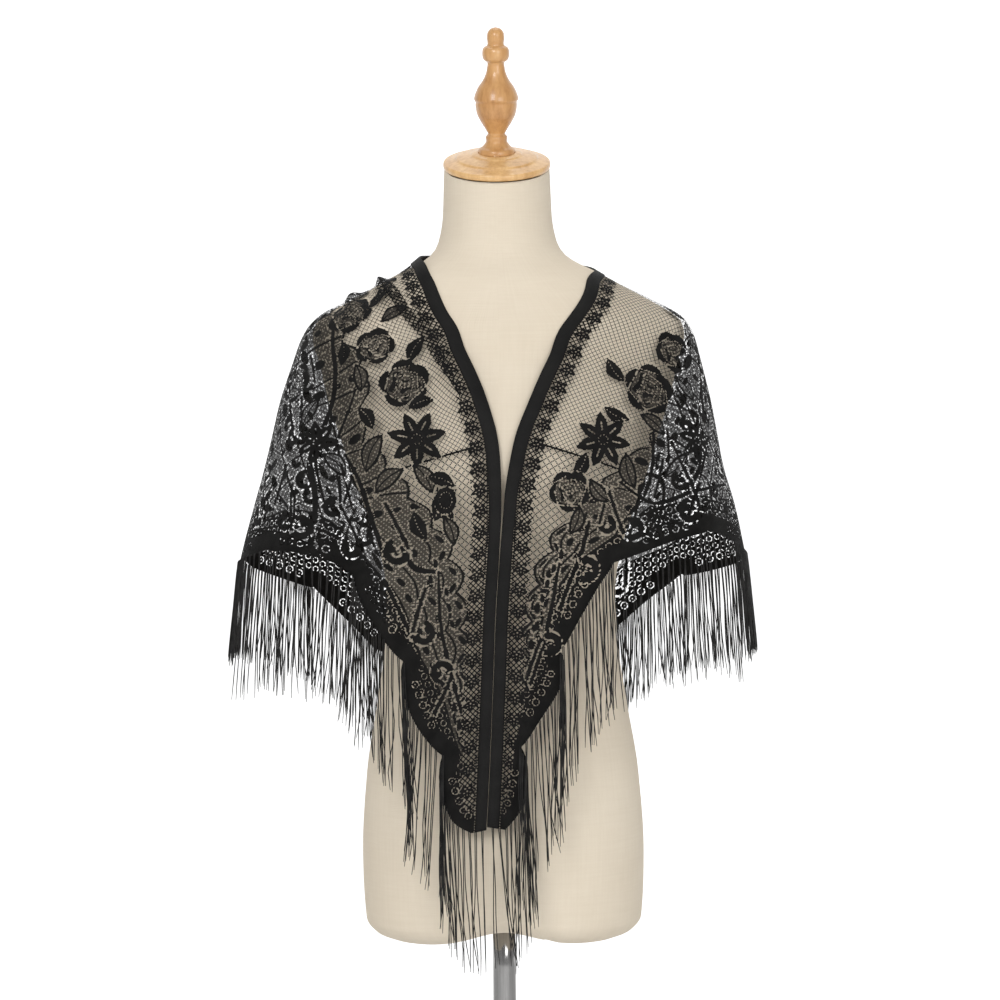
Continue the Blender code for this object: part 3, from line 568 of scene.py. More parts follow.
# Figures of the lace, on each half: place along the neck edge and away from it, size, and direction in
# degrees anticlockwise from the picture's right, as seen from outside
BACK_FIGURES = (
    ("rose", 0.000, 0.205, 0.0270, 20),
    ("leaf", 0.023, 0.188, 0.0300, 70),
    ("star", 0.052, 0.205, 0.0270, 10),
    ("leaf", 0.036, 0.240, 0.0300, -60),
    ("rose", 0.100, 0.172, 0.0240, 60),
    ("leaf", 0.078, 0.160, 0.0300, 100),
    ("leaf", 0.082, 0.215, 0.0300, -80),
    ("bud", 0.128, 0.196, 0.0220, -60),
    ("star", 0.146, 0.146, 0.0240, 25),
)
LEFT_FIGURES = (
    ("rose", 0.190, 0.118, 0.0235, 10),
    ("leaf", 0.168, 0.108, 0.0300, 75),
    ("full", 0.182, 0.084, 0.0280, 60),
    ("full", 0.152, 0.062, 0.0270, 20),
    ("full", 0.150, 0.094, 0.0290, -15),
    ("leaf", 0.205, 0.076, 0.0300, 35),
    ("rose", 0.232, 0.108, 0.0200, 80),
    ("full", 0.226, 0.140, 0.0270, -80),
    ("full", 0.250, 0.072, 0.0300, 62),
    ("leaf", 0.258, 0.134, 0.0320, -70),
    ("rose", 0.278, 0.088, 0.0250, 30),
    ("full", 0.300, 0.125, 0.0280, -50),
    ("full", 0.304, 0.068, 0.0260, 20),
    ("star", 0.338, 0.077, 0.0290, 15),
    ("leaf", 0.338, 0.121, 0.0400, 65),
    ("leaf", 0.372, 0.112, 0.0360, 40),
    ("leaf", 0.380, 0.078, 0.0340, -55),
    ("full", 0.388, 0.060, 0.0280, -20),
    ("bud", 0.412, 0.056, 0.0300, 85),
    ("full", 0.428, 0.080, 0.0300, 115),
    ("leaf", 0.440, 0.052, 0.0300, -70),
    ("star", 0.300, 0.180, 0.0220, 5),
    ("leaf", 0.268, 0.190, 0.0320, 70),
    ("leaf", 0.332, 0.165, 0.0340, -40),
    ("rose", 0.225, 0.200, 0.0210, 5),
    ("leaf", 0.246, 0.228, 0.0300, 40),
    ("left", 0.540, 0.070, 0.0100, 10),
    ("left", 0.580, 0.050, 0.0095, 198),
    ("hook", 0.452, 0.102, 0.0110, 20),
    ("oval", 0.470, 0.062, 0.0060, 10),
    ("oval", 0.486, 0.066, 0.0060, 10),
    ("oval", 0.502, 0.050, 0.0060, 10),
    ("oval", 0.518, 0.046, 0.0060, 10),
    ("oval", 0.534, 0.042, 0.0055, 10),
    ("hook", 0.440, 0.150, 0.0095, 25),
    ("left", 0.395, 0.205, 0.0100, -10),
    ("hook", 0.330, 0.275, 0.0095, 15),
    ("left", 0.240, 0.355, 0.0095, -15),
    ("hook", 0.160, 0.415, 0.0095, 10),
    ("left", 0.085, 0.440, 0.0095, -5),
)
RIGHT_FIGURES = (
    ("full", 0.176, 0.100, 0.0300, 110),
    ("leaf", 0.190, 0.124, 0.0320, 70),
    ("rose", 0.218, 0.112, 0.0220, 40),
    ("leaf", 0.246, 0.140, 0.0320, -60),
    ("rose", 0.266, 0.104, 0.0260, 0),
    ("full", 0.262, 0.066, 0.0280, 120),
    ("leaf", 0.300, 0.122, 0.0320, -45),
    ("full", 0.306, 0.084, 0.0280, 150),
    ("star", 0.338, 0.082, 0.0280, 40),
    ("leaf", 0.360, 0.118, 0.0360, 100),
    ("full", 0.372, 0.068, 0.0280, -120),
    ("rose", 0.402, 0.062, 0.0200, 50),
    ("leaf", 0.392, 0.092, 0.0300, 130),
    ("leaf", 0.432, 0.070, 0.0300, -110),
    ("star", 0.290, 0.172, 0.0230, 5),
    ("leaf", 0.262, 0.180, 0.0320, 110),
    ("leaf", 0.330, 0.160, 0.0340, -140),
    ("rose", 0.220, 0.190, 0.0210, 5),
    ("leaf", 0.240, 0.222, 0.0300, 140),
    ("hook", 0.486, 0.084, 0.0105, 150),
    ("hook", 0.560, 0.052, 0.0092, 152),
    ("oval", 0.470, 0.058, 0.0060, -10),
    ("oval", 0.486, 0.052, 0.0060, -10),
    ("oval", 0.502, 0.047, 0.0060, -10),
    ("oval", 0.518, 0.043, 0.0055, -10),
    ("left", 0.430, 0.128, 0.0095, -25),
    ("hook", 0.380, 0.188, 0.0100, 10),
    ("left", 0.310, 0.262, 0.0095, -15),
    ("hook", 0.225, 0.335, 0.0095, 15),
    ("left", 0.150, 0.400, 0.0095, -10),
    ("hook", 0.080, 0.435, 0.0095, 5),
)
FIGURES = {LEFT: BACK_FIGURES + LEFT_FIGURES, RIGHT: BACK_FIGURES + RIGHT_FIGURES}

# Cords of close knitting: half a width, then places along the neck edge and away from it
CORDS = {
    LEFT: (
        (0.0026, (0.195, 0.138), (0.253, 0.160), (0.327, 0.188), (0.422, 0.193), (0.463, 0.179)),
        (0.0018, (0.265, 0.138), (0.325, 0.163), (0.400, 0.168)),
        (0.0020, (0.325, 0.151), (0.385, 0.137), (0.463, 0.112)),
        (0.0024, (0.448, 0.098), (0.475, 0.080), (0.480, 0.059)),
        (0.0014, (0.480, 0.059), (0.532, 0.053), (0.593, 0.038), (0.632, 0.026)),
        (0.0014, (0.482, 0.112), (0.525, 0.090), (0.560, 0.072)),
        (0.0016, (0.320, 0.240), (0.385, 0.206), (0.435, 0.155)),
        (0.0016, (0.230, 0.250), (0.275, 0.290), (0.290, 0.330)),
        (0.0016, (0.130, 0.260), (0.170, 0.320), (0.175, 0.390)),
        (0.0016, (0.030, 0.280), (0.065, 0.345), (0.060, 0.420)),
    ),
    RIGHT: (
        (0.0024, (0.220, 0.156), (0.292, 0.186), (0.392, 0.176)),
        (0.0016, (0.292, 0.121), (0.362, 0.140), (0.440, 0.112)),
        (0.0018, (0.377, 0.110), (0.390, 0.143), (0.350, 0.190), (0.300, 0.235)),
        (0.0014, (0.480, 0.057), (0.542, 0.050), (0.600, 0.035)),
        (0.0018, (0.430, 0.085), (0.470, 0.078), (0.505, 0.058)),
        (0.0016, (0.230, 0.240), (0.265, 0.275), (0.275, 0.310)),
        (0.0016, (0.130, 0.260), (0.170, 0.310), (0.180, 0.370)),
        (0.0016, (0.030, 0.290), (0.060, 0.350), (0.055, 0.420)),
    ),
}


# ---------------------------------------------------------------- surface the cloth is worn on

def curve_between(t, start, end, start_pull, end_pull):
    """The smooth curve from start to end, at shares t of the way; each pull is a slope times its length."""
    first = (1 + 2 * t) * (1 - t) ** 2 * start + t * (1 - t) ** 2 * start_pull
    return first + t * t * (3 - 2 * t) * end + t * t * (t - 1) * end_pull


def curve_at(x, y, slope, at):
    """The smooth curve through points x and y with a slope at each of them."""
    step = np.diff(x)
    i = np.clip(np.searchsorted(x, at, side="right") - 1, 0, len(step) - 1)
    return curve_between((at - x[i]) / step[i], y[i], y[i + 1], step[i] * slope[i], step[i] * slope[i + 1])


def through(knots, values, at):
    """Smooth curve through table rows, with slopes limited so that it never overshoots a row."""
    x, y = np.asarray(knots, float), np.asarray(values, float)
    step = np.diff(x)
    slope = np.diff(y) / step
    before, after = slope[:-1], slope[1:]
    near, far = 2 * step[1:] + step[:-1], step[1:] + 2 * step[:-1]
    turning = before * after <= 0
    weights = near / np.where(turning, 1, before) + far / np.where(turning, 1, after)
    inner = np.where(turning, 0, (near + far) / np.where(turning, 1, weights))
    tangent = np.concatenate([slope[:1], inner, slope[-1:]])
    return curve_at(x, y, tangent, np.clip(np.asarray(at, float), x[0], x[-1]))


def rounded(knots, values, at):
    """Smooth curve through points of a route, rounded at each of them."""
    x, y = np.asarray(knots, float), np.asarray(values, float)
    return curve_at(x, y, np.gradient(y, x), at)


def smooth_step(share):
    share = np.clip(share, 0, 1)
    return share * share * (3 - 2 * share)


def ring_at(rings, name, height):
    return through(rings["height"], rings[name], height)


def oval(rings, turn, height):
    """A ring's outline at an angle from the front centre: how far out, and the depth in y."""
    middle = ring_at(rings, "middle", height)
    front = ring_at(rings, "front", height)
    back = ring_at(rings, "back", height)
    flatness = 2 / ring_at(rings, "roundness", height)
    cosine, sine = np.cos(turn), np.sin(turn)
    reach = np.where(cosine > 0, middle - front, back - middle)
    out = ring_at(rings, "half_width", height) * np.sign(sine) * np.abs(sine) ** flatness
    return out, middle - np.sign(cosine) * reach * np.abs(cosine) ** flatness


def worn_point(side, turn, height):
    out, y = oval(WORN_RINGS, turn, height)
    x = side * out + ring_at(WORN_RINGS, "shift", height)
    return np.stack([x, y, height + 0 * x], -1)


def turn_of(side, out, height, face):
    """The angle round the worn surface, from the front centre, of a place out from the middle on a face."""
    if face == "side":
        return math.pi / 2
    half_width = ring_at(WORN_RINGS, "half_width", height)
    sine = np.clip((out - side * ring_at(WORN_RINGS, "shift", height)) / half_width, -1, 1)
    turn = np.arcsin(np.sign(sine) * np.abs(sine) ** (ring_at(WORN_RINGS, "roundness", height) / 2))
    return float(math.pi - turn if face == "back" else turn)


def arc_length(points):
    steps = np.linalg.norm(np.diff(points, axis=0), axis=1)
    return np.concatenate([[0], np.cumsum(steps)])


def even_route(side, route, count=ROUTE_POINTS):
    """The route as evenly spaced places on the worn surface: turns, heights and the length so far."""
    rows = zip(route["out"], route["height"], route["face"])
    turn = np.array([turn_of(side, *row) for row in rows])
    height = np.array(route["height"], float)
    length = arc_length(worn_point(side, turn, height))
    places = np.linspace(0, length[-1], count)
    turn, height = rounded(length, turn, places), rounded(length, height, places)
    for _ in range(2):
        length = arc_length(worn_point(side, turn, height))
        places = np.linspace(0, length[-1], count)
        turn, height = np.interp(places, length, turn), np.interp(places, length, height)
    return turn, height, arc_length(worn_point(side, turn, height))


def hem_share_of(neck_share):
    """The share of the hem that lies below a share of the neck edge, from the cut."""
    fine = np.linspace(0, 1, CUT_POINTS)
    depth = through(CUT["along"], CUT["depth"], fine * HALF_NECK_EDGE)
    length = arc_length(np.stack([fine * HALF_NECK_EDGE, depth], -1))
    return np.interp(neck_share, fine, length / length[-1])


def neck_share_of(hem_share):
    """The share of the neck edge that lies above a share of the hem."""
    fine = np.linspace(0, 1, HEM_FINE_POINTS)
    return np.interp(hem_share, hem_share_of(fine), fine)


def even_pull(net):
    """How far each inner point of the net is from where an evenly meshed net would have it."""
    left, right, above, below = net[:-2, 1:-1], net[2:, 1:-1], net[1:-1, :-2], net[1:-1, 2:]
    along, across = (right - left) / 2, (below - above) / 2
    corners = net[2:, 2:] - net[:-2, 2:] - net[2:, :-2] + net[:-2, :-2]
    across_weight = (across**2).sum(-1, keepdims=True)
    along_weight = (along**2).sum(-1, keepdims=True)
    shear = (along * across).sum(-1, keepdims=True)
    even = across_weight * (left + right) + along_weight * (above + below) - shear * corners / 2
    return even / (2 * (across_weight + along_weight)) - net[1:-1, 1:-1]


def pull_tight(side, turn, height):
    """Pulls ribs tight over the worn surface, while the net holds them evenly apart."""
    small = SMALL_STEP
    for _ in range(NET_ROUNDS):
        net = worn_point(side, turn, height)
        pull = (net[:, 2:] + net[:, :-2]) / 2 - net[:, 1:-1]
        pull[1:-1] += NET_STIFFNESS * (even_pull(net) - pull[1:-1])
        t, h = turn[:, 1:-1], height[:, 1:-1]
        by_turn = (worn_point(side, t + small, h) - worn_point(side, t - small, h)) / (2 * small)
        by_height = (worn_point(side, t, h + small) - worn_point(side, t, h - small)) / (2 * small)
        turn_square, height_square = (by_turn**2).sum(-1), (by_height**2).sum(-1)
        shared = (by_turn * by_height).sum(-1)
        pull_turn, pull_height = (pull * by_turn).sum(-1), (pull * by_height).sum(-1)
        area = np.maximum(turn_square * height_square - shared * shared, TINY)
        turn_step = (pull_turn * height_square - pull_height * shared) / area
        height_step = (pull_height * turn_square - pull_turn * shared) / area
        turn[:, 1:-1] += np.clip(turn_step, -MOST_TURN_STEP, MOST_TURN_STEP)
        height[:, 1:-1] += np.clip(height_step, -MOST_HEIGHT_STEP, MOST_HEIGHT_STEP)
    return worn_point(side, turn, height)


def fold_lines():
    """Each fold as the points of its crest, with its half width and rise."""
    share = np.linspace(0, 1, FOLD_POINTS)
    for side, face, top_out, top_height, foot_out, foot_height, half_width, rise in zip(*FOLDS.values()):
        out = top_out + share * (foot_out - top_out)
        height = top_height + share * (foot_height - top_height)
        turn = np.array([turn_of(side, o, h, face) for o, h in zip(out, height)])
        yield worn_point(side, turn, height), half_width, rise


def fold_rise(points):
    """How far the folds lift or sink each point of the surface."""
    total = np.zeros(points.shape[:-1])
    for crest, half_width, rise in fold_lines():
        gaps = np.linalg.norm(points[..., None, :] - crest, axis=-1)
        nearest = gaps.argmin(-1) / (len(crest) - 1)
        grow = smooth_step(FOLD_START + FOLD_GROWTH * nearest)
        total += rise * grow * np.exp(-((gaps.min(-1) / half_width) ** 2))
    return total


def scallop_cut(hem_share, hem_length):
    """How far the scalloped edge stands back from its outermost line, at a share of the hem."""
    pitch = (hem_length - TIP_SCALLOP) / SCALLOPS_PER_SIDE
    phase = ((1 - hem_share) * hem_length - TIP_SCALLOP) / pitch
    within = 2 * (phase - np.floor(phase)) - 1
    bow = (1 - np.sqrt(1 - SCALLOP_ROUNDNESS * within**2)) / (1 - math.sqrt(1 - SCALLOP_ROUNDNESS))
    return SCALLOP_DEPTH * bow * (phase > -0.5)


# ---------------------------------------------------------------- drape

def unit(vectors):
    return vectors / np.linalg.norm(vectors, axis=-1, keepdims=True)


def finer(values, times):
    """The grid with more rows along its first direction, on a smooth curve through the given ones."""
    at = np.linspace(0, len(values) - 1, (len(values) - 1) * times + 1)
    i = np.minimum(at.astype(int), len(values) - 2)
    before = 2 * values[:1] - values[1:2]
    after = 2 * values[-1:] - values[-2:-1]
    padded = np.concatenate([before, values, after])
    p, q, r, s = (padded[i + k] for k in range(4))
    return curve_between((at - i)[:, None, None], q, r, (r - p) / 2, (s - q) / 2)


def finer_both(values):
    return finer(finer(values, NET_FINER).swapaxes(0, 1), NET_FINER).swapaxes(0, 1)


def outward(points, side):
    return unit(np.cross(np.gradient(points, axis=0), np.gradient(points, axis=1)) * side)


def make_drape(side):
    """One half of the shawl as it hangs: a fine grid of points and normals, with and without its folds."""
    share = np.linspace(0, 1, NET_RIBS)
    neck_turn, neck_height, neck_length = even_route(side, NECK_EDGE[side])
    hem_turn, hem_height, hem_length = even_route(side, HEM[side])
    neck_at = share * neck_length[-1]
    hem_at = hem_share_of(share) * hem_length[-1]
    down = np.linspace(0, 1, NET_STEPS + 1)[None, :]

    def between(neck_values, hem_values):
        start = np.interp(neck_at, neck_length, neck_values)[:, None]
        end = np.interp(hem_at, hem_length, hem_values)[:, None]
        return start * (1 - down) + end * down

    points = pull_tight(side, between(neck_turn, hem_turn), between(neck_height, hem_height))
    for rib in points:
        length = arc_length(rib)
        even = np.linspace(0, length[-1], len(rib))
        rib[:] = np.stack([np.interp(even, length, rib[:, k]) for k in range(3)], -1)
    lengths = np.linalg.norm(np.diff(points, axis=1), axis=2).sum(1)
    base_normals = unit(finer_both(outward(points, side)))
    base = finer_both(points)
    folded = base + base_normals * fold_rise(base)[..., None]
    return {
        "side": side,
        "base": base,
        "base_normals": base_normals,
        "points": folded,
        "normals": outward(folded, side),
        "length": lengths,
        "hem": hem_length[-1],
    }


def sample(drape, values, share, down):
    """Values of the drape's grid between its points, at shares along the neck edge and down the rib."""
    grid = drape[values]
    column = np.clip(share, 0, 1) * (grid.shape[0] - 1)
    row = np.clip(down, 0, 1) * (grid.shape[1] - 1)
    i = np.minimum(column.astype(int), grid.shape[0] - 2)
    j = np.minimum(row.astype(int), grid.shape[1] - 2)
    u, v = (column - i)[..., None], (row - j)[..., None]
    near = grid[i, j] * (1 - u) + grid[i + 1, j] * u
    far = grid[i, j + 1] * (1 - u) + grid[i + 1, j + 1] * u
    return near * (1 - v) + far * v


def rib_length(drape, share):
    return np.interp(share, np.linspace(0, 1, NET_RIBS), drape["length"])


def place(drape, share, away, lift=0.0):
    """Points of the hanging cloth: share along the neck edge, metres away from it, lifted off the cloth."""
    down = away / rib_length(drape, share)
    normal = unit(sample(drape, "normals", share, down))
    return sample(drape, "points", share, down) + normal * np.asarray(lift)[..., None], normal


# ---------------------------------------------------------------- pleat

def pleat_width(side, along):
    """How much cloth the pleat by the picture's left shoulder takes up, at a place along the neck edge."""
    if side != LEFT:
        return 0.0 * along
    share = (along - PLEAT_FROM) / (PLEAT_TO - PLEAT_FROM)
    return PLEAT_WIDTH * smooth_step(share / PLEAT_GROWS) * smooth_step((1 - share) / PLEAT_ENDS)


def pleat_crest(along):
    """How far from the neck edge the pleat's crest is cut."""
    return np.interp(along, (PLEAT_FROM, PLEAT_TO), (PLEAT_AWAY_TOP, PLEAT_AWAY_FOOT))


def shoulder_ridges(along, lies):
    """The gathered ridges by the pleat's top: the rise of each, and its share of it at each place."""
    for ridge_along, ridge_away, rise, half_along, half_away in SHOULDER_RIDGES:
        off = ((along - ridge_along) / half_along) ** 2 + ((lies - ridge_away) / half_away) ** 2
        yield rise, np.exp(-off)


def through_pleat(side, along, away):
    """Where cloth that is cut at (along, away) lies: how far from the neck edge, and how far lifted."""
    width = pleat_width(side, along)
    crest = pleat_crest(along)
    over = np.clip(away - crest, 0, None)
    back = np.clip(over, None, np.maximum(width, TINY))
    lies = away - over - back + np.clip(over - width, 0, None)
    top = smooth_step((lies - crest + width + PLEAT_RAMP) / PLEAT_RAMP) * (over <= 0)
    middle = (over > 0) & (over < width)
    lift = np.where(middle, 1.0, 2.0 * top) * PLEAT_LIFT * np.clip(width / PLEAT_WIDTH, 0, 1)
    if side == LEFT:
        lift = lift + sum(rise * ridge for rise, ridge in shoulder_ridges(along, lies))
    return lies, lift


def pleated(side, along, away):
    """Above zero where the cloth lies in the folded layers of the pleat."""
    width = pleat_width(side, along)
    crest = pleat_crest(along)
    return np.minimum(away - crest + width, crest + 2 * width - away)


# ---------------------------------------------------------------- fields over the cut

class Fields:
    """Two fields over places of the cut, in metres: open where the cloth has a hole, solid where it is
    closely knitted, and a fine see-through mesh elsewhere. Each grows towards the inside of its shape."""

    def __init__(self, open_field, solid_field, where=(slice(None), slice(None))):
        self.open, self.solid, self.where = open_field, solid_field, where

    def cover(self, shape):
        """Closely knitted inside the shape."""
        self.open[self.where] = np.minimum(self.open[self.where], -shape)
        self.solid[self.where] = np.maximum(self.solid[self.where], shape)

    def veil(self, shape):
        """Fine see-through mesh inside the shape."""
        self.open[self.where] = np.minimum(self.open[self.where], -shape)
        self.solid[self.where] = np.minimum(self.solid[self.where], -shape)

    def pierce(self, hole):
        self.open[self.where] = np.maximum(self.open[self.where], hole)


class Cloth(Fields):
    """The fields over the whole flat cut of one half, with where each of its grid points lies."""

    def __init__(self, drape):
        self.drape = drape
        side = drape["side"]
        self.columns = np.arange(round(HALF_NECK_EDGE / CELL) + 1)
        along = self.columns * CELL
        share = along / along[-1]
        self.edge = rib_length(drape, share) - scallop_cut(hem_share_of(share), drape["hem"])
        self.edge = self.edge + 2 * pleat_width(side, along)
        self.rows = np.arange(FIRST_ROW, int(self.edge.max() / CELL) + 3)
        self.along, self.away = np.meshgrid(along, self.rows * CELL, indexing="ij")
        self.share = np.repeat(share[:, None], len(self.rows), 1)
        self.inside = self.away < self.edge[:, None] + 2 * CELL
        self.lies, _ = through_pleat(side, self.along, self.away)
        down = self.lies / rib_length(drape, self.share)
        self.at = sample(drape, "base", self.share, down)
        self.normal = unit(sample(drape, "base_normals", self.share, down))
        super().__init__(np.full(self.along.shape, -CELL), np.full(self.along.shape, CELL))

    def near(self, along, away, reach):
        """The fields near a place of the cut, with their places in its tangent plane: right and up."""
        i, j = round(along / CELL), round(away / CELL) - FIRST_ROW
        centre, normal = self.at[i, j], self.normal[i, j]
        up = unit(np.array([0, 0, 1.0]) - normal * normal[2])
        window = tuple(slice(max(k - WINDOW, 0), k + WINDOW) for k in (i, j))
        offset = self.at[window] - centre
        close = (np.linalg.norm(offset, axis=-1) < reach) & (self.normal[window] @ normal > FACING)
        rows, columns = np.nonzero(close)
        spot = Fields(self.open, self.solid, (rows + window[0].start, columns + window[1].start))
        return spot, offset[close] @ np.cross(up, normal), offset[close] @ up


def stitches(along, pitch=DOT_PITCH):
    """How much a dotted hole narrows at each place along its line."""
    return DOT_NARROWING * (1 - np.cos(2 * math.pi * along / pitch)) / 2


def dotted(shape, along, pitch=DOT_PITCH, half_width=DOT_HALF_WIDTH):
    """A dotted hole along the zero line of a shape."""
    return half_width - np.abs(shape) - stitches(along, pitch)


def ring_stitches(turn, count):
    """How much the line of a small ring narrows at each of its evenly spaced stitches."""
    return RING_NARROWING * (1 - np.cos(count * turn))


def net_holes(along, away, pitch, reach):
    """Diamond holes in a staggered net."""
    u = np.abs((along / pitch + 0.5) % 1 - 0.5) * pitch
    v = np.abs((away / pitch + 0.5) % 1 - 0.5) * pitch
    return np.maximum(reach - u - v, reach - (pitch / 2 - u) - (pitch / 2 - v))


def polar(right, up):
    return np.hypot(right, up), np.arctan2(up, right)


def turned(right, up, angle):
    cosine, sine = math.cos(angle), math.sin(angle)
    return right * cosine + up * sine, up * cosine - right * sine


def draw_rose(cloth, along, away, size, angle):
    """Petals round petals: each outer edge a dotted line, with a crescent of mesh inside it."""
    spot, right, up = cloth.near(along, away, size * REACH["rose"])
    radius, turn = polar(*turned(right, up, angle))
    teeth = ROSE_TOOTH * np.abs((turn * ROSE_TEETH / math.pi) % 1 - 0.5)
    rim = size * (ROSE_RIM[0] + ROSE_RIM[1] * np.abs(np.cos(ROSE_LOBES / 2 * turn)) + teeth) - radius
    spot.cover(rim)
    for share, petals, start, gap in ROSE_PETALS:
        wave = np.abs(np.sin(petals * (turn - start) / 2))
        line = size * share * (ROSE_SWELL[0] - ROSE_SWELL[1] * wave)
        inside = size * share * (1 - np.cos(turn - gap)) / 2 - LINE
        crescent = ROSE_CRESCENT - np.abs(radius - line + ROSE_CRESCENT_IN)
        crescent -= ROSE_CRESCENT_TIPS * (1 - wave) / 2
        spot.veil(np.minimum(crescent, inside))
        spot.pierce(np.minimum(dotted(radius - line, line * turn, *ROSE_DOTS), inside))
    spot.pierce(EDGE_LINE - radius)
    spot.pierce(np.minimum(dotted(rim + ROSE_DOTS_OFF, radius * turn), radius - size * ROSE_DOTS_FROM))


def draw_star(cloth, along, away, size, angle):
    """Pointed petals round a heart, each with a slit along its middle."""
    spot, right, up = cloth.near(along, away, size * REACH["star"])
    radius, turn = polar(*turned(right, up, angle))
    sector = turn * STAR_PETALS / (2 * math.pi)
    number = np.floor(sector + 0.5)
    offset = (sector - number) * 2 * math.pi / STAR_PETALS
    out, across = radius * np.cos(offset), radius * np.sin(offset)
    share = np.clip((out / size - STAR_PETAL_FROM) / (1 - STAR_PETAL_FROM), 0, 1)
    width = size * STAR_PETAL * np.sin(math.pi * share**STAR_BLUNT) ** STAR_BLUNT
    petal = np.minimum(width - np.abs(across), (size - out) * STAR_BLUNT)
    spot.cover(petal)
    spot.cover(size * STAR_HEART - radius)
    slit = EDGE_LINE - np.abs(across) - stitches(out) / 2
    slit = np.minimum(slit, STAR_SLIT[0] * size - np.abs(out - STAR_SLIT[1] * size))
    spot.pierce(slit)
    spot.pierce(dotted(radius - size * STAR_RING, size * STAR_RING * turn))
    spot.pierce(np.minimum(dotted(petal + STAR_DOTS_OFF, out), radius - size * STAR_DOTS_FROM))


def draw_leaf(cloth, along, away, size, angle, filled=False):
    """A pointed leaf: a dark rim and midrib round see-through mesh, or closely knitted all over."""
    spot, right, up = cloth.near(along, away, size * REACH["leaf"])
    out, across = turned(right, up, angle)
    share = np.clip(1 - (2 * out / size) ** 2, 0, 1)
    off_middle = across - LEAF_BEND * size * share
    leaf = size * LEAF_HALF_WIDTH * share - np.abs(off_middle)
    leaf = np.minimum(leaf, (size / 2 - np.abs(out)) * LEAF_TIP)
    if filled:
        spot.cover(leaf)
        spot.pierce(np.minimum(dotted(off_middle, out), leaf - LEAF_DOTS_IN))
    else:
        spot.veil(leaf)
        spot.cover(np.minimum(EDGE_LINE - np.abs(leaf - LINE), leaf + LEAF_RIM_ROOM))
        spot.cover(np.minimum(LEAF_MIDRIB - np.abs(off_middle), leaf))
    spot.pierce(dotted(leaf + DOTS_OFF, out))


def draw_hook(cloth, along, away, size, angle, mirrored=False):
    """A comma-shaped scroll that ends in a knob, with its stem running up from it."""
    spot, right, up = cloth.near(along, away, size * REACH["hook"])
    across, out = turned(-right if mirrored else right, up, angle)
    radius, turn = polar(across, out)
    swept = (turn + math.pi * 1.5) % (2 * math.pi)
    share = swept / (2 * math.pi)
    thick = size * (HOOK_THICKNESS[0] + HOOK_THICKNESS[1] * share)
    curl = thick - np.abs(radius - size * (1 - HOOK_WINDS * share))
    curl = np.minimum(curl, (HOOK_ENDS - share) * size * HOOK_END_EDGE)
    knob_radius, knob_across, knob_out = HOOK_KNOB
    knob = size * knob_radius - np.hypot(across + size * knob_across, out - size * knob_out)
    rise = np.clip(out / size, 0, HOOK_RISE)
    lean = across - size * (HOOK_STEM_OFF[0] - HOOK_STEM_OFF[1] * rise**HOOK_CURVE)
    ends = np.minimum(out + HOOK_STEM_FROM, size * HOOK_STEM_TO - out)
    stem = np.minimum(size * HOOK_STEM - np.abs(lean), ends)
    scroll = np.maximum(np.maximum(curl, stem), knob)
    spot.cover(scroll)
    spot.pierce(dotted(scroll + HOOK_DOTS_OFF, radius + out, *HOOK_DOTS))


def draw_oval(cloth, along, away, size, angle):
    """A small upright oval within a dotted line."""
    spot, right, up = cloth.near(along, away, size * REACH["oval"])
    across, out = turned(right, up, angle)
    drop = (size * OVAL_REACH - np.hypot(across * OVAL_NARROW, out)) * OVAL_EDGE
    spot.cover(drop)
    spot.pierce(dotted(drop + DOTS_OFF, out * OVAL_DOTS))


def draw_bud(cloth, along, away, size, angle):
    """A closed bud between two sepals."""
    for splay in (BUD_SPLAY, -BUD_SPLAY):
        draw_leaf(cloth, along, away, size * BUD_SEPAL, angle + splay, filled=True)
    spot, right, up = cloth.near(along, away, size * REACH["bud"])
    out, across = turned(right, up, angle)
    radius, turn = polar(out - size * BUD_OUT, across * BUD_WIDTH)
    rim = size * BUD_RIM - radius
    spot.cover(rim)
    spot.pierce(dotted(radius - size * BUD_RING, size * BUD_RING * turn))
    spot.pierce(dotted(rim + BUD_DOTS_OFF, size * BUD_RIM * turn))


DRAW = {
    "rose": draw_rose,
    "star": draw_star,
    "leaf": draw_leaf,
    "hook": draw_hook,
    "oval": draw_oval,
    "bud": draw_bud,
    "full": partial(draw_leaf, filled=True),
    "left": partial(draw_hook, mirrored=True),
}


def nearest_on(line, points):
    """Distance from each point to a line through space, and how far along the line that is."""
    length = arc_length(line)
    gap, along = np.full(len(points), np.inf), np.zeros(len(points))
    for start in range(0, len(points), POINTS_AT_ONCE):
        part = points[start : start + POINTS_AT_ONCE]
        best, where = gap[start : start + POINTS_AT_ONCE], along[start : start + POINTS_AT_ONCE]
        squares = (part**2).sum(1)[:, None] - 2 * part @ line.T + (line**2).sum(1)
        nearest = squares.argmin(1)
        for first in (np.maximum(nearest - 1, 0), np.minimum(nearest, len(line) - 2)):
            step = line[first + 1] - line[first]
            size = (step**2).sum(1)
            t = np.clip(((part - line[first]) * step).sum(1) / size, 0, 1)
            distance = np.linalg.norm(part - line[first] - step * t[:, None], axis=1)
            better = distance < best
            best[better] = distance[better]
            where[better] = (length[first] + t * np.sqrt(size))[better]
    return gap, along


def hem_line(drape, back):
    """The hem without its folds, set back from its outer line, on round the tip to the neck edge."""
    share = np.linspace(0, 1, HEM_POINTS)
    away = rib_length(drape, share) - back(share)
    away = np.append(away, np.linspace(away[-1], 0, TIP_POINTS)[1:])
    share = np.append(share, np.ones(TIP_POINTS - 1))
    return sample(drape, "base", share, away / rib_length(drape, share))


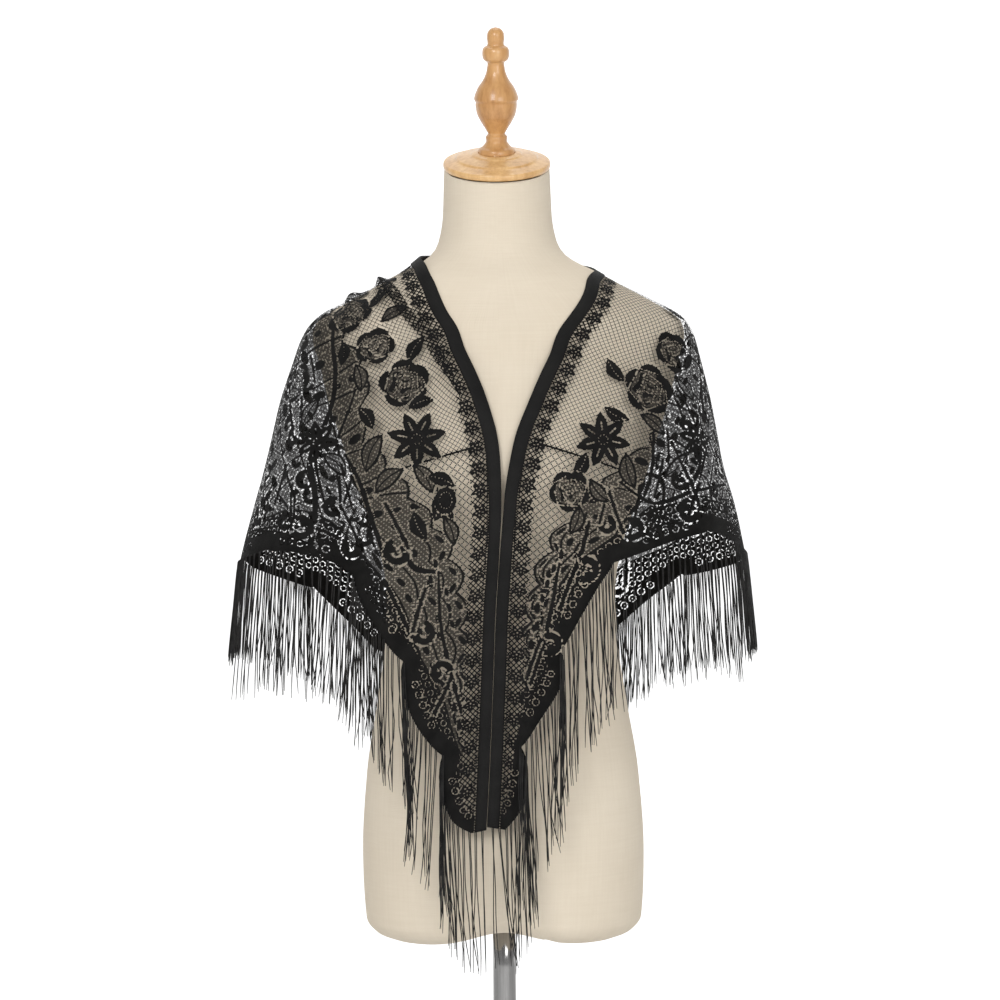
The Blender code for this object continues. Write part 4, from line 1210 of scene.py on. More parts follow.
def draw_ground(cloth):
    """The plain parts of the lace: two nets, the fine mesh, and the line that parts the nets."""
    side, along, away = cloth.drape["side"], cloth.along, cloth.away
    shut = PLEAT_SHUTS * np.clip(pleated(side, along, away) / CELL, 0, 1)
    if side == LEFT:
        shut = shut + RIDGE_SHUTS * sum(ridge for _, ridge in shoulder_ridges(along, cloth.lies))
    cloth.pierce(net_holes(along, away, NET_PITCH, NET_HOLE) - shut)
    coarse = along - COARSE_FROM
    cloth.cover(coarse)
    cloth.pierce(np.minimum(net_holes(along, away, COARSE_PITCH, COARSE_HOLE), coarse))
    arch = MESH_ARCH * np.abs(np.sin(math.pi * along / MESH_ARCH_PITCH))
    cloth.mesh_from = through(MESH_FROM["along"], MESH_FROM["away"], along) - arch
    mesh = away - cloth.mesh_from
    cloth.veil(mesh)
    cloth.cover(EDGE_LINE - np.abs(mesh))
    for off in MESH_DOTS:
        cloth.pierce(dotted(mesh - off, along))
    cloth.cover(np.minimum(LINE - np.abs(coarse), COARSE_LINE_TO - away))


def draw_vein(cloth, across, along, fade):
    """A thin line of close knitting between two dotted lines."""
    cloth.cover(np.minimum(LINE - np.abs(across), fade))
    for off in (VEIN_DOTS, -VEIN_DOTS):
        cloth.pierce(np.minimum(dotted(across - off, along, VEIN_DOT_PITCH), fade))


def draw_veins(cloth):
    """Double veins that run down the mesh between its top and the border. Beyond the last column of the
    back and the arm, they and rows of ovals part the front's mesh into shares of its own depth."""
    along, away = cloth.along, cloth.away
    depth = np.maximum(cloth.mesh_to - cloth.mesh_from, LEAST_DEPTH)
    share = np.clip((away - cloth.mesh_from) / depth, -1, 2)
    room = np.minimum(away - cloth.mesh_from, cloth.mesh_to - away) - VEIN_ROOM
    fade = np.minimum(room, (COLUMNS_TO - along) / 2)
    for pitch, phase, sway in VEINS:
        centre = (np.minimum(along, COLUMNS_TO) / pitch + phase + sway * np.sin(math.pi * share)) % 1 - 0.5
        draw_vein(cloth, centre * pitch, away, fade)
    fade = np.minimum(room, along - COLUMNS_TO)
    for part in FAN_VEINS:
        draw_vein(cloth, (share - part) * depth, along, fade)
    for part, phase in FAN_OVALS:
        upright = ((along / OVAL_PITCH + phase) % 1 - 0.5) * OVAL_PITCH
        drop = (OVAL_SIZE - np.hypot(upright, (share - part) * depth * FAN_OVAL_FLAT)) * OVAL_EDGE
        cloth.cover(np.minimum(drop, fade - OVAL_ROOM))
        cloth.pierce(np.minimum(dotted(drop + FAN_DOTS_OFF, upright * FAN_DOTS), fade - OVAL_ROOM))


def draw_line(cloth, half_width, places):
    """A thick cord through some places of the cut, thinner at its ends, with a dotted line on each side."""
    places = np.array(places)
    length = arc_length(places)
    fine = np.linspace(0, length[-1], CORD_POINTS)
    line = np.stack([through(length, places[:, k], fine) for k in (0, 1)], -1)
    low, high = line.min(0) - CORD_MARGIN, line.max(0) + CORD_MARGIN
    near = (cloth.along > low[0]) & (cloth.along < high[0]) & (cloth.away > low[1]) & (cloth.away < high[1])
    gap, along = nearest_on(line, np.stack([cloth.along[near], cloth.away[near]], -1))
    half = half_width * (0.5 + 0.5 * np.sin(math.pi * np.clip(along / length[-1], 0, 1)) ** 0.5)
    spot = Fields(cloth.open, cloth.solid, np.nonzero(near))
    spot.cover(half - gap)
    spot.pierce(dotted(gap - half - DOTS_OFF, along))


def draw_scrolls(cloth):
    """Scrolls that stand in rows in the mesh of the back and the arms, each by the border."""
    for number, along in enumerate(np.arange(*SCROLL_PLACES)):
        column = round(along / CELL)
        low = cloth.away[column, np.argmax(cloth.mesh_to[column] < cloth.away[column])]
        size = SCROLL_SIZE * SCROLL_SIZES[number % 2]
        top = cloth.mesh_from[column, 0] + SCROLL_ROOM[0] * size
        for row, away in enumerate(np.arange(low - SCROLL_ROOM[1] * size, top, -SCROLL_STEP)):
            turn = math.radians(SCROLL_TURN) * math.sin(SCROLL_SWAY[0] * number + SCROLL_SWAY[1] * row)
            draw_hook(cloth, along + SCROLL_SHIFT * (row % 2), away, size, turn, (number + row) % 2 == 0)


def draw_cells(cloth):
    """Small figures that fill the mesh between the veins: large and small ovals, and flecks."""
    along, away = cloth.along, cloth.away
    room = np.minimum(away - cloth.mesh_from, cloth.mesh_to - away) - CELL_ROOM
    room = np.minimum(room, COLUMNS_TO - CELL_OFF_END - along)
    column = along / CELL_ALONG
    across = (column % 1 - 0.5) * CELL_ALONG
    down = away / CELL_AWAY + 0.5 * (np.floor(column) % 2)
    upright = (down % 1 - 0.5) * CELL_AWAY
    size = np.where(np.floor(down) % 2 == 0, *CELL_OVALS)
    drop = (size - np.hypot(across * CELL_NARROW, upright)) * OVAL_EDGE
    cloth.cover(np.minimum(drop, room))
    cloth.pierce(np.minimum(dotted(drop + DOTS_OFF, upright * CELL_DOTS), room))
    off_side = np.abs(across) - CELL_ALONG * FLECK_PLACE[0]
    off_row = np.abs(upright) - CELL_AWAY * FLECK_PLACE[1]
    cloth.pierce(np.minimum(FLECK - np.hypot(off_side, off_row * FLECK_TALL), room))


def draw_border(cloth):
    """A solid scalloped edge with rows of small rings, and a row of larger rings in each scallop."""
    drape, shape, hem = cloth.drape, cloth.along.shape, cloth.drape["hem"]
    flat = cloth.at.reshape(-1, 3)
    middle = hem_line(drape, lambda share: SCALLOP_DEPTH / 2)
    gap, along = (values.reshape(shape) for values in nearest_on(middle, flat))
    beyond = cloth.lies > rib_length(drape, cloth.share) - SCALLOP_DEPTH / 2
    cloth.gap = gap = np.where(beyond, -gap, gap)
    outer = hem_line(drape, lambda share: scallop_cut(hem_share_of(share), hem))
    rim = nearest_on(outer, flat)[0].reshape(shape)
    pitch = (hem - TIP_SCALLOP) / SCALLOPS_PER_SIDE
    phase = ((hem - along - TIP_SCALLOP) / pitch) % 1 - 0.5
    front = smooth_step((cloth.along - BORDER_NARROWS[0]) / BORDER_NARROWS[1])
    edge = BORDER_DEEP + (BORDER_FRONT - BORDER_DEEP) * front + BORDER_WAVE * np.cos(2 * math.pi * phase)
    cloth.cover(edge - gap)
    # rows of small rings
    row = np.floor(gap / CHAIN_STEP)
    across = ((along / CHAIN_PITCH + 0.5 * (row % 2)) % 1 - 0.5) * CHAIN_PITCH
    upright = (gap / CHAIN_STEP - row - 0.5) * CHAIN_PITCH
    spread, spin = polar(across, upright)
    room = np.minimum(rim - CHAIN_FROM, edge - CHAIN_INSIDE - gap)
    room = np.minimum(room, cloth.away - BAND_WIDTH - CHAIN_OFF_BAND)
    ring = CHAIN_LINE - np.abs(CHAIN_RADIUS - spread) - ring_stitches(spin, CHAIN_DOTS)
    cloth.pierce(np.minimum(ring, room))
    # the row of larger rings
    number = np.round(phase * pitch / RING_PITCH)
    around, spin = polar(phase * pitch - number * RING_PITCH, gap - RING_GAP)
    hole = RING_LINE - np.abs(around - RING_RADIUS) - ring_stitches(spin, RING_DOTS)
    hole = np.maximum(hole, RING_EYE - around)
    cloth.pierce(np.where((along < hem - RING_OFF_TIP) & (np.abs(number) <= RINGS_EACH_SIDE), hole, -CELL))
    cloth.cover(RIM_WIDTH - rim)
    cloth.mesh_to = cloth.away + (gap - edge)


def draw_neck_strip(cloth):
    """Small flowers between loops and lattice, along the band."""
    along, away = cloth.along, cloth.away + BAND_WIDTH - band_width(cloth.along)
    repeat = along / STRIP_PITCH
    radius, turn = polar((repeat % 1 - 0.5) * STRIP_PITCH, away - STRIP_FLOWERS)
    wave = STRIP_TO + STRIP_WAVE * np.cos(2 * math.pi * repeat)
    tip_fade = (cloth.gap - STRIP_OFF_HEM) * STRIP_FADE
    inside = np.minimum(wave - away, tip_fade)
    cloth.cover(inside)
    cloth.pierce(np.minimum(net_holes(along, cloth.away, STRIP_LATTICE, STRIP_HOLE), inside))
    lobes = np.cos(STRIP_LOBES * turn)
    flower = STRIP_FLOWER * (STRIP_FLOWER_WAVE[0] + STRIP_FLOWER_WAVE[1] * lobes) - radius
    cloth.cover(np.minimum(flower, tip_fade))
    petal = lobes * STRIP_PETAL_EDGE[0] - STRIP_PETAL_EDGE[1]
    petal = np.minimum(STRIP_EYE - np.abs(radius - STRIP_PETALS), petal)
    cloth.pierce(np.minimum(petal, tip_fade))
    cloth.pierce(np.minimum(STRIP_EYE - radius, tip_fade))
    beads = np.hypot((along / STRIP_BEADS % 1 - 0.5) * STRIP_BEADS, away - BAND_WIDTH - STRIP_BEADS_OFF)
    cloth.cover(STRIP_BASE + BAND_WIDTH - away)
    cloth.pierce(STRIP_BEAD - beads)


def draw_lace(cloth):
    """Draws everything, then moves the fields off zero, so that no cut runs through a grid point."""
    draw_ground(cloth)
    draw_border(cloth)
    draw_veins(cloth)
    draw_cells(cloth)
    draw_scrolls(cloth)
    for half_width, *places in CORDS[cloth.drape["side"]]:
        draw_line(cloth, half_width, places)
    for kind, along, away, size, angle in FIGURES[cloth.drape["side"]]:
        DRAW[kind](cloth, along, away, size, math.radians(angle))
    draw_neck_strip(cloth)
    cloth.open = np.maximum(cloth.open, cloth.away - cloth.edge[:, None])
    for field in (cloth.open, cloth.solid):
        small = np.abs(field) < SNAP
        field[small] = np.where(field[small] < 0, -SNAP, SNAP)


# ---------------------------------------------------------------- cutting the fields out of a grid

def keep_below(corners, level):
    """The parts of triangles where a value of their corners is below zero."""
    values = corners[:, :, level]
    count = (values < 0).sum(1)
    kept = [corners[count == 3]]

    def crossing(start, end):
        low, high = start[:, level], end[:, level]
        t = (low / (low - high))[:, None]
        return start + (end - start) * t

    for inside in (1, 2):
        some = corners[count == inside]
        if not len(some):
            continue
        below = some[:, :, level] < 0
        odd = (below if inside == 1 else ~below).argmax(1)
        order = (odd[:, None] + np.arange(3)) % 3
        some = np.take_along_axis(some, order[:, :, None], 1)
        first, second, third = some[:, 0], some[:, 1], some[:, 2]
        if inside == 1:
            kept.append(np.stack([first, crossing(first, second), crossing(first, third)], 1))
        else:
            near, far = crossing(second, first), crossing(third, first)
            kept.append(np.stack([near, second, third], 1))
            kept.append(np.stack([near, third, far], 1))
    return np.concatenate(kept)


def net_crossings(cloth, i, j, knits):
    """Which blocks of four cells hold just a thread of the net from corner to corner, so that two triangles
    cut the same holes as eight do, and whether that thread starts at the block's first corner."""
    corner = {(p, q): cloth.open[i + p, j + q] for p, q in BLOCK}
    first, second, third, fourth = (corner[place_of] for place_of in RING)
    from_start = first < 0
    ends = np.where(from_start, first + third, second + fourth) / 2
    holes = np.where(from_start, np.minimum(second, fourth), np.minimum(first, third))
    found = (holes > 0) & (np.abs(corner[1, 1] - ends) < SNAP / 4) & (ends < 0)
    for k, middle in enumerate(SIDES):
        start, middle, end = corner[RING[k]], corner[middle], corner[RING[(k + 1) % 4]]
        found &= (middle > 0) & (start * end < 0) & (np.abs(start + end - 2 * middle) < SNAP / 4)
    return found & ((knits == 0) | (knits == len(BLOCK))), from_start


def plain_blocks(cloth, first, last):
    """Blocks of four grid cells with no edge in them, as starts along and away, and the triangles that fill
    them: two, or more where a neighbour needs the point in the middle of a side."""
    shut, knit = cloth.open < 0, cloth.solid > 0
    i, j = np.arange(first + first % 2, last - 1, 2), np.arange(0, len(cloth.rows) - 2, 2)
    i, j = np.meshgrid(i, j, indexing="ij")
    filled = np.all([shut[i + p, j + q] for p, q in BLOCK], axis=0)
    knits = np.sum([knit[i + p, j + q] for p, q in BLOCK], axis=0)
    plain = filled & ((knits == 0) | (knits == len(BLOCK)))
    crossing, from_start = net_crossings(cloth, i, j, knits)
    padded = np.pad(plain, 1)
    beside = (padded[1:-1, :-2], padded[2:, 1:-1], padded[1:-1, 2:], padded[:-2, 1:-1])
    split = [plain & ~neighbour for neighbour in beside]
    whole = plain & ~np.any(split, axis=0)
    corners = []

    def add(mask, *offsets):
        corners.append(np.stack([np.stack([i[mask] + p, j[mask] + q], -1) for p, q in offsets], 1))

    for mask, k in ((whole, 0), (crossing & from_start, 0), (crossing & ~from_start, 1)):
        one, two, three, four = (RING[(k + step) % 4] for step in range(4))
        add(mask, one, two, three)
        add(mask, one, three, four)
    for k, middle in enumerate(SIDES):
        start, end = RING[k], RING[(k + 1) % 4]
        add(split[k], start, middle, (1, 1))
        add(split[k], middle, end, (1, 1))
        add(plain & ~whole & ~split[k], start, end, (1, 1))
    done = plain | crossing
    return (i[done], j[done]), np.concatenate(corners)


def cut_out(cloth, first, last):
    """Triangles of the lace between two columns of the grid, and which of them are closely knitted."""
    (block_i, block_j), plain = plain_blocks(cloth, first, last)
    i, j = np.meshgrid(np.arange(first, last), np.arange(len(cloth.rows) - 1), indexing="ij")
    free = np.ones(cloth.open.shape, bool)
    used = np.zeros(i.shape, bool)
    for p, q in ((0, 0), (1, 0), (0, 1), (1, 1)):
        free[block_i + p, block_j + q] = False
        used |= cloth.inside[i + p, j + q]
    used &= free[i, j]
    i, j = i[used], j[used]
    even = ((i + cloth.rows[j]) % 2 == 0)[:, None, None]
    a, b, c, d = (np.stack([i + p, j + q], -1) for p, q in ((0, 0), (1, 0), (1, 1), (0, 1)))
    one = np.where(even, np.stack([a, b, c], 1), np.stack([a, b, d], 1))
    two = np.where(even, np.stack([a, c, d], 1), np.stack([b, c, d], 1))
    p, q = np.moveaxis(np.concatenate([plain, one, two]), -1, 0)
    values = np.stack([cloth.along[p, q], cloth.away[p, q], cloth.open[p, q], cloth.solid[p, q]], -1)
    values = keep_below(values, 2)
    mesh = keep_below(values, 3)
    values[..., 3] *= -1
    corners = np.concatenate([mesh, keep_below(values, 3)])[..., :2]
    return corners, np.arange(len(corners)) >= len(mesh)


def drape_mesh(name, parts):
    """One mesh from triangles of one half or both, welded in the cut and laid where the cloth hangs, with
    the area of its cloth."""
    lists = {"places": [], "faces": [], "flats": [], "kinds": []}
    count = 0
    for cloth, corners, knitted in parts:
        side = cloth.drape["side"]
        flat = corners.reshape(-1, 2)
        key = np.round(flat / WELD).astype(np.int64)
        _, kept, index = np.unique(key, axis=0, return_index=True, return_inverse=True)
        flat = flat[kept]
        faces = index.reshape(-1, 3)
        whole = (faces != np.roll(faces, 1, axis=1)).all(1)
        share = flat[:, 0] / (cloth.columns[-1] * CELL)
        lists["places"].append(place(cloth.drape, share, *through_pleat(side, *flat.T))[0])
        lists["faces"].append(faces[whole][:, ::-side] + count)
        lists["flats"].append(flat * (side, 1))
        lists["kinds"].append(knitted[whole])
        count += len(flat)
    points, faces, flats, kinds = (np.concatenate(parts_of) for parts_of in lists.values())
    corners = flats[faces]
    legs = corners[:, 1:] - corners[:, :1]
    area = np.abs(legs[:, 0, 0] * legs[:, 1, 1] - legs[:, 0, 1] * legs[:, 1, 0]).sum() / 2
    return new_mesh(name, points, faces, uv=corners, kinds=kinds), float(area)


def new_mesh(name, points, *faces, uv=None, kinds=None):
    """A smooth-shaded mesh: faces is one array for each number of corners, uv the flat place of each
    corner, and kinds the material of each face."""
    corners = np.concatenate([part.ravel() for part in faces]).astype(np.int32)
    sizes = np.concatenate([np.full(len(part), part.shape[1]) for part in faces])
    mesh = bpy.data.meshes.new(name)
    mesh.vertices.add(len(points))
    mesh.vertices.foreach_set("co", points.astype(np.float32).ravel())
    mesh.loops.add(len(corners))
    mesh.loops.foreach_set("vertex_index", corners)
    mesh.polygons.add(len(sizes))
    mesh.polygons.foreach_set("loop_start", (np.cumsum(sizes) - sizes).astype(np.int32))
    if uv is not None:
        mesh.uv_layers.new(name="cut").data.foreach_set("uv", uv.astype(np.float32).ravel())
    if kinds is not None:
        mesh.polygons.foreach_set("material_index", kinds.astype(np.int32))
    mesh.update(calc_edges=True)
    mesh.validate()
    mesh.shade_smooth()
    return mesh


# ---------------------------------------------------------------- other meshes

def add_piece(name, mesh, materials, node):
    piece = bpy.data.objects.new(name, mesh)
    bpy.context.scene.collection.objects.link(piece)
    for material in materials:
        mesh.materials.append(material)
    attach(piece, "root")
    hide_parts(node)
    return piece


def grid_mesh(name, points, flat=None, closed=False):
    """A sheet of quads between rows and columns of points; closed joins the last row to the first."""
    columns, rows = points.shape[:2]
    i, j = np.meshgrid(np.arange(columns - 1), np.arange(rows if closed else rows - 1), indexing="ij")
    i = np.stack([i, i + 1, i + 1, i], -1).reshape(-1, 4)
    j = np.stack([j, j, j + 1, j + 1], -1).reshape(-1, 4)
    uv = None if flat is None else np.stack([flat[0][i], flat[1][j]], -1)
    return new_mesh(name, points.reshape(-1, 3), i * rows + j % rows, uv=uv)


def close_mesh(mesh, weld=False):
    """Fills the open ends, or welds them into points, and turns the faces outwards."""
    builder = bmesh.new()
    builder.from_mesh(mesh)
    if weld:
        bmesh.ops.remove_doubles(builder, verts=builder.verts, dist=TIP_WELD)
    else:
        bmesh.ops.holes_fill(builder, edges=[edge for edge in builder.edges if edge.is_boundary], sides=0)
    bmesh.ops.recalc_face_normals(builder, faces=builder.faces)
    builder.to_mesh(mesh)
    builder.free()
    mesh.shade_smooth()
    return mesh


def band_width(along):
    """The band narrows a little towards the front tips."""
    return BAND_WIDTH - BAND_TAPER * smooth_step((along - BAND_NARROWS[0]) / BAND_NARROWS[1])


def band_mesh(drapes):
    """A folded binding swept along the whole neck edge, with rounded edges."""
    share = np.linspace(0, 1, BAND_POINTS)[:, None]
    turn = np.linspace(0, 2 * math.pi, BAND_SIDES, endpoint=False)[None, :]
    cosine, sine = np.cos(turn), np.sin(turn)
    half = BAND_THICKNESS / 2
    reach = band_width(share * HALF_NECK_EDGE) / 2
    away = reach + np.sign(cosine) * (reach - half + half * np.abs(cosine) ** 0.5)
    away = np.where(np.abs(cosine) < BAND_FLAT, reach + cosine / BAND_FLAT * (reach - half), away)
    lift = half * np.sign(sine) * np.minimum(1, np.abs(sine) * BAND_SQUARE)
    halves = {}
    for side, drape in drapes.items():
        halves[side], _ = place(drape, share + 0 * away, away, lift + 0 * share)
        meets = smooth_step((share * HALF_NECK_EDGE - BAND_MEETS_FROM[0]) / BAND_MEETS_FROM[1])
        halves[side][..., 0] -= side * BAND_MEETS * meets
    middle = (halves[LEFT][:1] + halves[RIGHT][:1]) / 2
    points = np.concatenate([halves[LEFT][:0:-1], middle, halves[RIGHT][1:]])
    along = np.linspace(-HALF_NECK_EDGE, HALF_NECK_EDGE, len(points))
    around = np.linspace(0, BAND_ROUND, BAND_SIDES + 1)
    return close_mesh(grid_mesh("neck_band", points, (along, around), closed=True))


def mesh_of_tubes(name, paths):
    """One mesh of thin tubes along paths of equal counts of points, narrower at their last points."""
    count, nodes = paths.shape[:2]
    sides = STRAND_SIDES
    tangent = unit(np.gradient(paths, axis=1))
    first = unit(np.cross(tangent, TUBE_REFERENCE))
    second = np.cross(tangent, first)
    turn = np.linspace(0, 2 * math.pi, sides, endpoint=False)[:, None]
    radius = np.full((nodes, 1, 1), STRAND_RADIUS)
    radius[-1] *= STRAND_TIP
    ring = first[:, :, None] * np.cos(turn) + second[:, :, None] * np.sin(turn)
    points = paths[:, :, None] + ring * radius
    base = (np.arange(count) * nodes * sides)[:, None, None]
    i = (np.arange(nodes - 1) * sides)[None, :, None]
    j = np.arange(sides)[None, None, :]
    k = (j + 1) % sides
    quads = np.stack([base + i + j, base + i + k, base + i + sides + k, base + i + sides + j], -1)
    last = (nodes - 1) * sides
    fans = [(0, m + 1, m) for m in range(1, sides - 1)]
    fans += [(last, last + m, last + m + 1) for m in range(1, sides - 1)]
    fans = (base + np.array(fans)).reshape(-1, 3)
    return new_mesh(name, points.reshape(-1, 3), quads.reshape(-1, 4), fans)


def hem_places(drape, start, end, pitch):
    """Places along a stretch of the hem for pairs of strands, as shares along the neck edge and away. The
    last stretch goes on round the tip."""
    count = round((end - start) * drape["hem"] / pitch)
    at = start + (np.arange(count) + 0.5) / count * (end - start)
    share = neck_share_of(at)
    away = rib_length(drape, share) - scallop_cut(at, drape["hem"])
    if end == 1:
        tip = np.arange(away[-1] - pitch, STRAND_RADIUS, -pitch)
        share, away = np.append(share, np.ones(len(tip))), np.append(away, tip)
    return share, away


def drifting(random, count, width):
    """Random numbers that change slowly from one strand to the next."""
    noise = random.normal(0, 1, count + 2 * DRIFT_MARGIN)
    return np.convolve(noise, np.ones(width) / width**0.5, "same")[DRIFT_MARGIN:-DRIFT_MARGIN]


def strand_paths(drape, name, start, end, random):
    """Routes of the strands of one stretch, in pairs that start together at the hem."""
    sway = SWAYS[name]
    share, away = (np.repeat(values, 2) for values in hem_places(drape, start, end, PITCHES[name]))
    count = len(share)
    pair = np.tile([-1.0, 1.0], count // 2)[:, None]
    top, normal = place(drape, share, away - STRAND_KNOT[0], STRAND_KNOT[1] + 0 * away)
    out = unit(normal * (1, 1, 0))
    sideways = np.cross(out, (0, 0, 1.0))
    drift, ragged = (drifting(random, count, width) for width in DRIFT_WIDTHS)
    length = HANGS[name] + STRAND_RAGGED * (ragged + random.normal(0, 1, count))
    down = np.linspace(0, 1, STRAND_NODES)[None, :]
    lean = sway * (STRAND_DRIFT * drift + random.normal(0, STRAND_LEAN, count))
    turns = STRAND_TURNS * (1 + random.random(count)[:, None])
    turn = 2 * math.pi * random.random(count)[:, None] + math.pi * turns * down
    wave = sway * random.normal(0, STRAND_WAVE, count)[:, None] * np.sin(turn)
    gather = STRAND_SPREAD * pair * (STRAND_GATHERS[0] - STRAND_GATHERS[1] * np.sin(math.pi * down))
    across = gather + lean[:, None] * down**STRAND_CURVE + wave * down
    lift = STRAND_LIFT[0] + STRAND_FLARE * length[:, None] * down + STRAND_LIFT[1] * np.sqrt(down)
    lift = lift + random.normal(0, STRAND_LIFT[0], count)[:, None] * down
    fall = np.stack([0 * down, 0 * down, -down], -1) * length[:, None, None]
    return top[:, None] + out[:, None] * lift[..., None] + sideways[:, None] * across[..., None] + fall


# ---------------------------------------------------------------- form

def seams_and_crease(x, y, z, turn):
    """How far the seams of the cover, and a crease low on its front, sink each place."""
    relief = 0.0
    for at in SEAM_TURNS:
        off = np.abs((turn - at + math.pi) % (2 * math.pi) - math.pi) * np.hypot(x, y)
        relief = relief - SEAM_DEPTH * np.exp(-((off / SEAM_HALF_WIDTH) ** 2))
    (top_x, top_z), (foot_x, foot_z) = CREASE
    run, drop = foot_x - top_x, foot_z - top_z
    share = np.clip(((x - top_x) * run + (z - top_z) * drop) / (run**2 + drop**2), 0, 1)
    off = np.hypot(x - top_x - share * run, z - top_z - share * drop)
    return relief - CREASE_DEPTH * np.exp(-((off / CREASE_HALF_WIDTH) ** 2)) * (y < 0)


def torso_surface():
    """The cover from its arched underside up to its slanted top under the cap."""
    heights = TORSO_RINGS["height"]
    bottom, low, top = heights[0], heights[2], heights[-1]
    level = np.linspace(0, 1, TORSO_LEVELS) * (top - bottom) + bottom
    rounding = bottom + (low - bottom) * np.linspace(0, 1, TORSO_LOW_LEVELS) ** 2
    level = np.concatenate([rounding, level[level > low]])
    turn = np.linspace(0, 2 * math.pi, TORSO_TURNS, endpoint=False)
    h, t = np.meshgrid(level, turn, indexing="ij")
    x, y = oval(TORSO_RINGS, t, h)
    arch = ARCH_RISE * (1 - smooth_step((h - bottom) / ARCH_FADE)) * np.exp(-((x / ARCH_HALF_WIDTH) ** 2))
    arch *= smooth_step(0.5 - y / ARCH_DEPTH)
    high = smooth_step((h - NECK_TRIM_HEIGHT) / (top - NECK_TRIM_HEIGHT))
    slope = high * math.tan(CAP_TILT) * (y - CAP_CENTRE[1])
    under_cap = high * (CAP_CENTRE[2] - h - 2 * FLOOR_GAP)
    points = np.stack([x, y, h + arch + slope + under_cap], -1)
    normal = unit(np.cross(np.gradient(points, axis=1), np.gradient(points, axis=0)))
    pad = smooth_step((h - PAD_FROM) / PAD_FADES[0]) * smooth_step((PAD_TO - h) / PAD_FADES[1])
    return points + normal * (seams_and_crease(x, y, points[..., 2], t) + SHOULDER_PAD * pad)[..., None]


def torso_mesh():
    points = torso_surface()
    underside = points[:1] * (UNDERSIDE_SHARE, UNDERSIDE_SHARE, 0) + (0, 0, UNDERSIDE_HEIGHT)
    waist = points[WAIST_LEVEL]
    around = arc_length(np.concatenate([waist, waist[:1]]))
    flat = np.append(0, arc_length(points[:, 0])), around
    return close_mesh(grid_mesh("dress_form", np.concatenate([underside, points]), flat, closed=True))


def profile_curve(profile):
    """The profile with more points, rounded where it turns gently and sharp at its grooves."""
    points = np.stack([profile["radius"], profile["height"]], -1)
    at = np.linspace(0, len(points) - 1, (len(points) - 1) * LATHE_POINTS + 1)
    i = np.minimum(at.astype(int), len(points) - 2)
    step = np.diff(points, axis=0)
    size = np.linalg.norm(step, axis=1, keepdims=True)
    tangent = np.zeros_like(points)
    inner = (step[:-1] / size[:-1] * size[1:] + step[1:] / size[1:] * size[:-1]) / (size[:-1] + size[1:])
    cosine = (step[:-1] * step[1:]).sum(1) / (size[:-1] * size[1:])[:, 0]
    tangent[1:-1] = inner * smooth_step((cosine[:, None] - LATHE_SHARP) / LATHE_BLEND)
    reach = np.minimum(size, np.minimum(np.roll(size, 1), np.roll(size, -1)) * LATHE_EASE)[i]
    pulls = tangent[i] * reach, tangent[i + 1] * reach
    curve = curve_between((at - i)[:, None], points[i], points[i + 1], *pulls)
    return np.maximum(curve[:, 0], 0), curve[:, 1]


def lathe_mesh(name, profile, place_matrix, seat=None):
    """A turned piece; what would lie below the seat, a point and a normal, is pressed flat onto it."""
    radius, height = (values[:, None] for values in profile_curve(profile))
    turn = np.linspace(0, 2 * math.pi, LATHE_STEPS, endpoint=False)
    points = np.stack([radius * np.cos(turn), radius * np.sin(turn), height + 0 * turn], -1)
    matrix = np.array(place_matrix)
    points = points @ matrix[:3, :3].T + matrix[:3, 3]
    if seat is not None:
        point, normal = (np.array(value) for value in seat)
        points = points - np.minimum((points - point) @ normal, 0)[..., None] * normal
    return close_mesh(grid_mesh(name, points, closed=True), weld=True)


# ---------------------------------------------------------------- materials

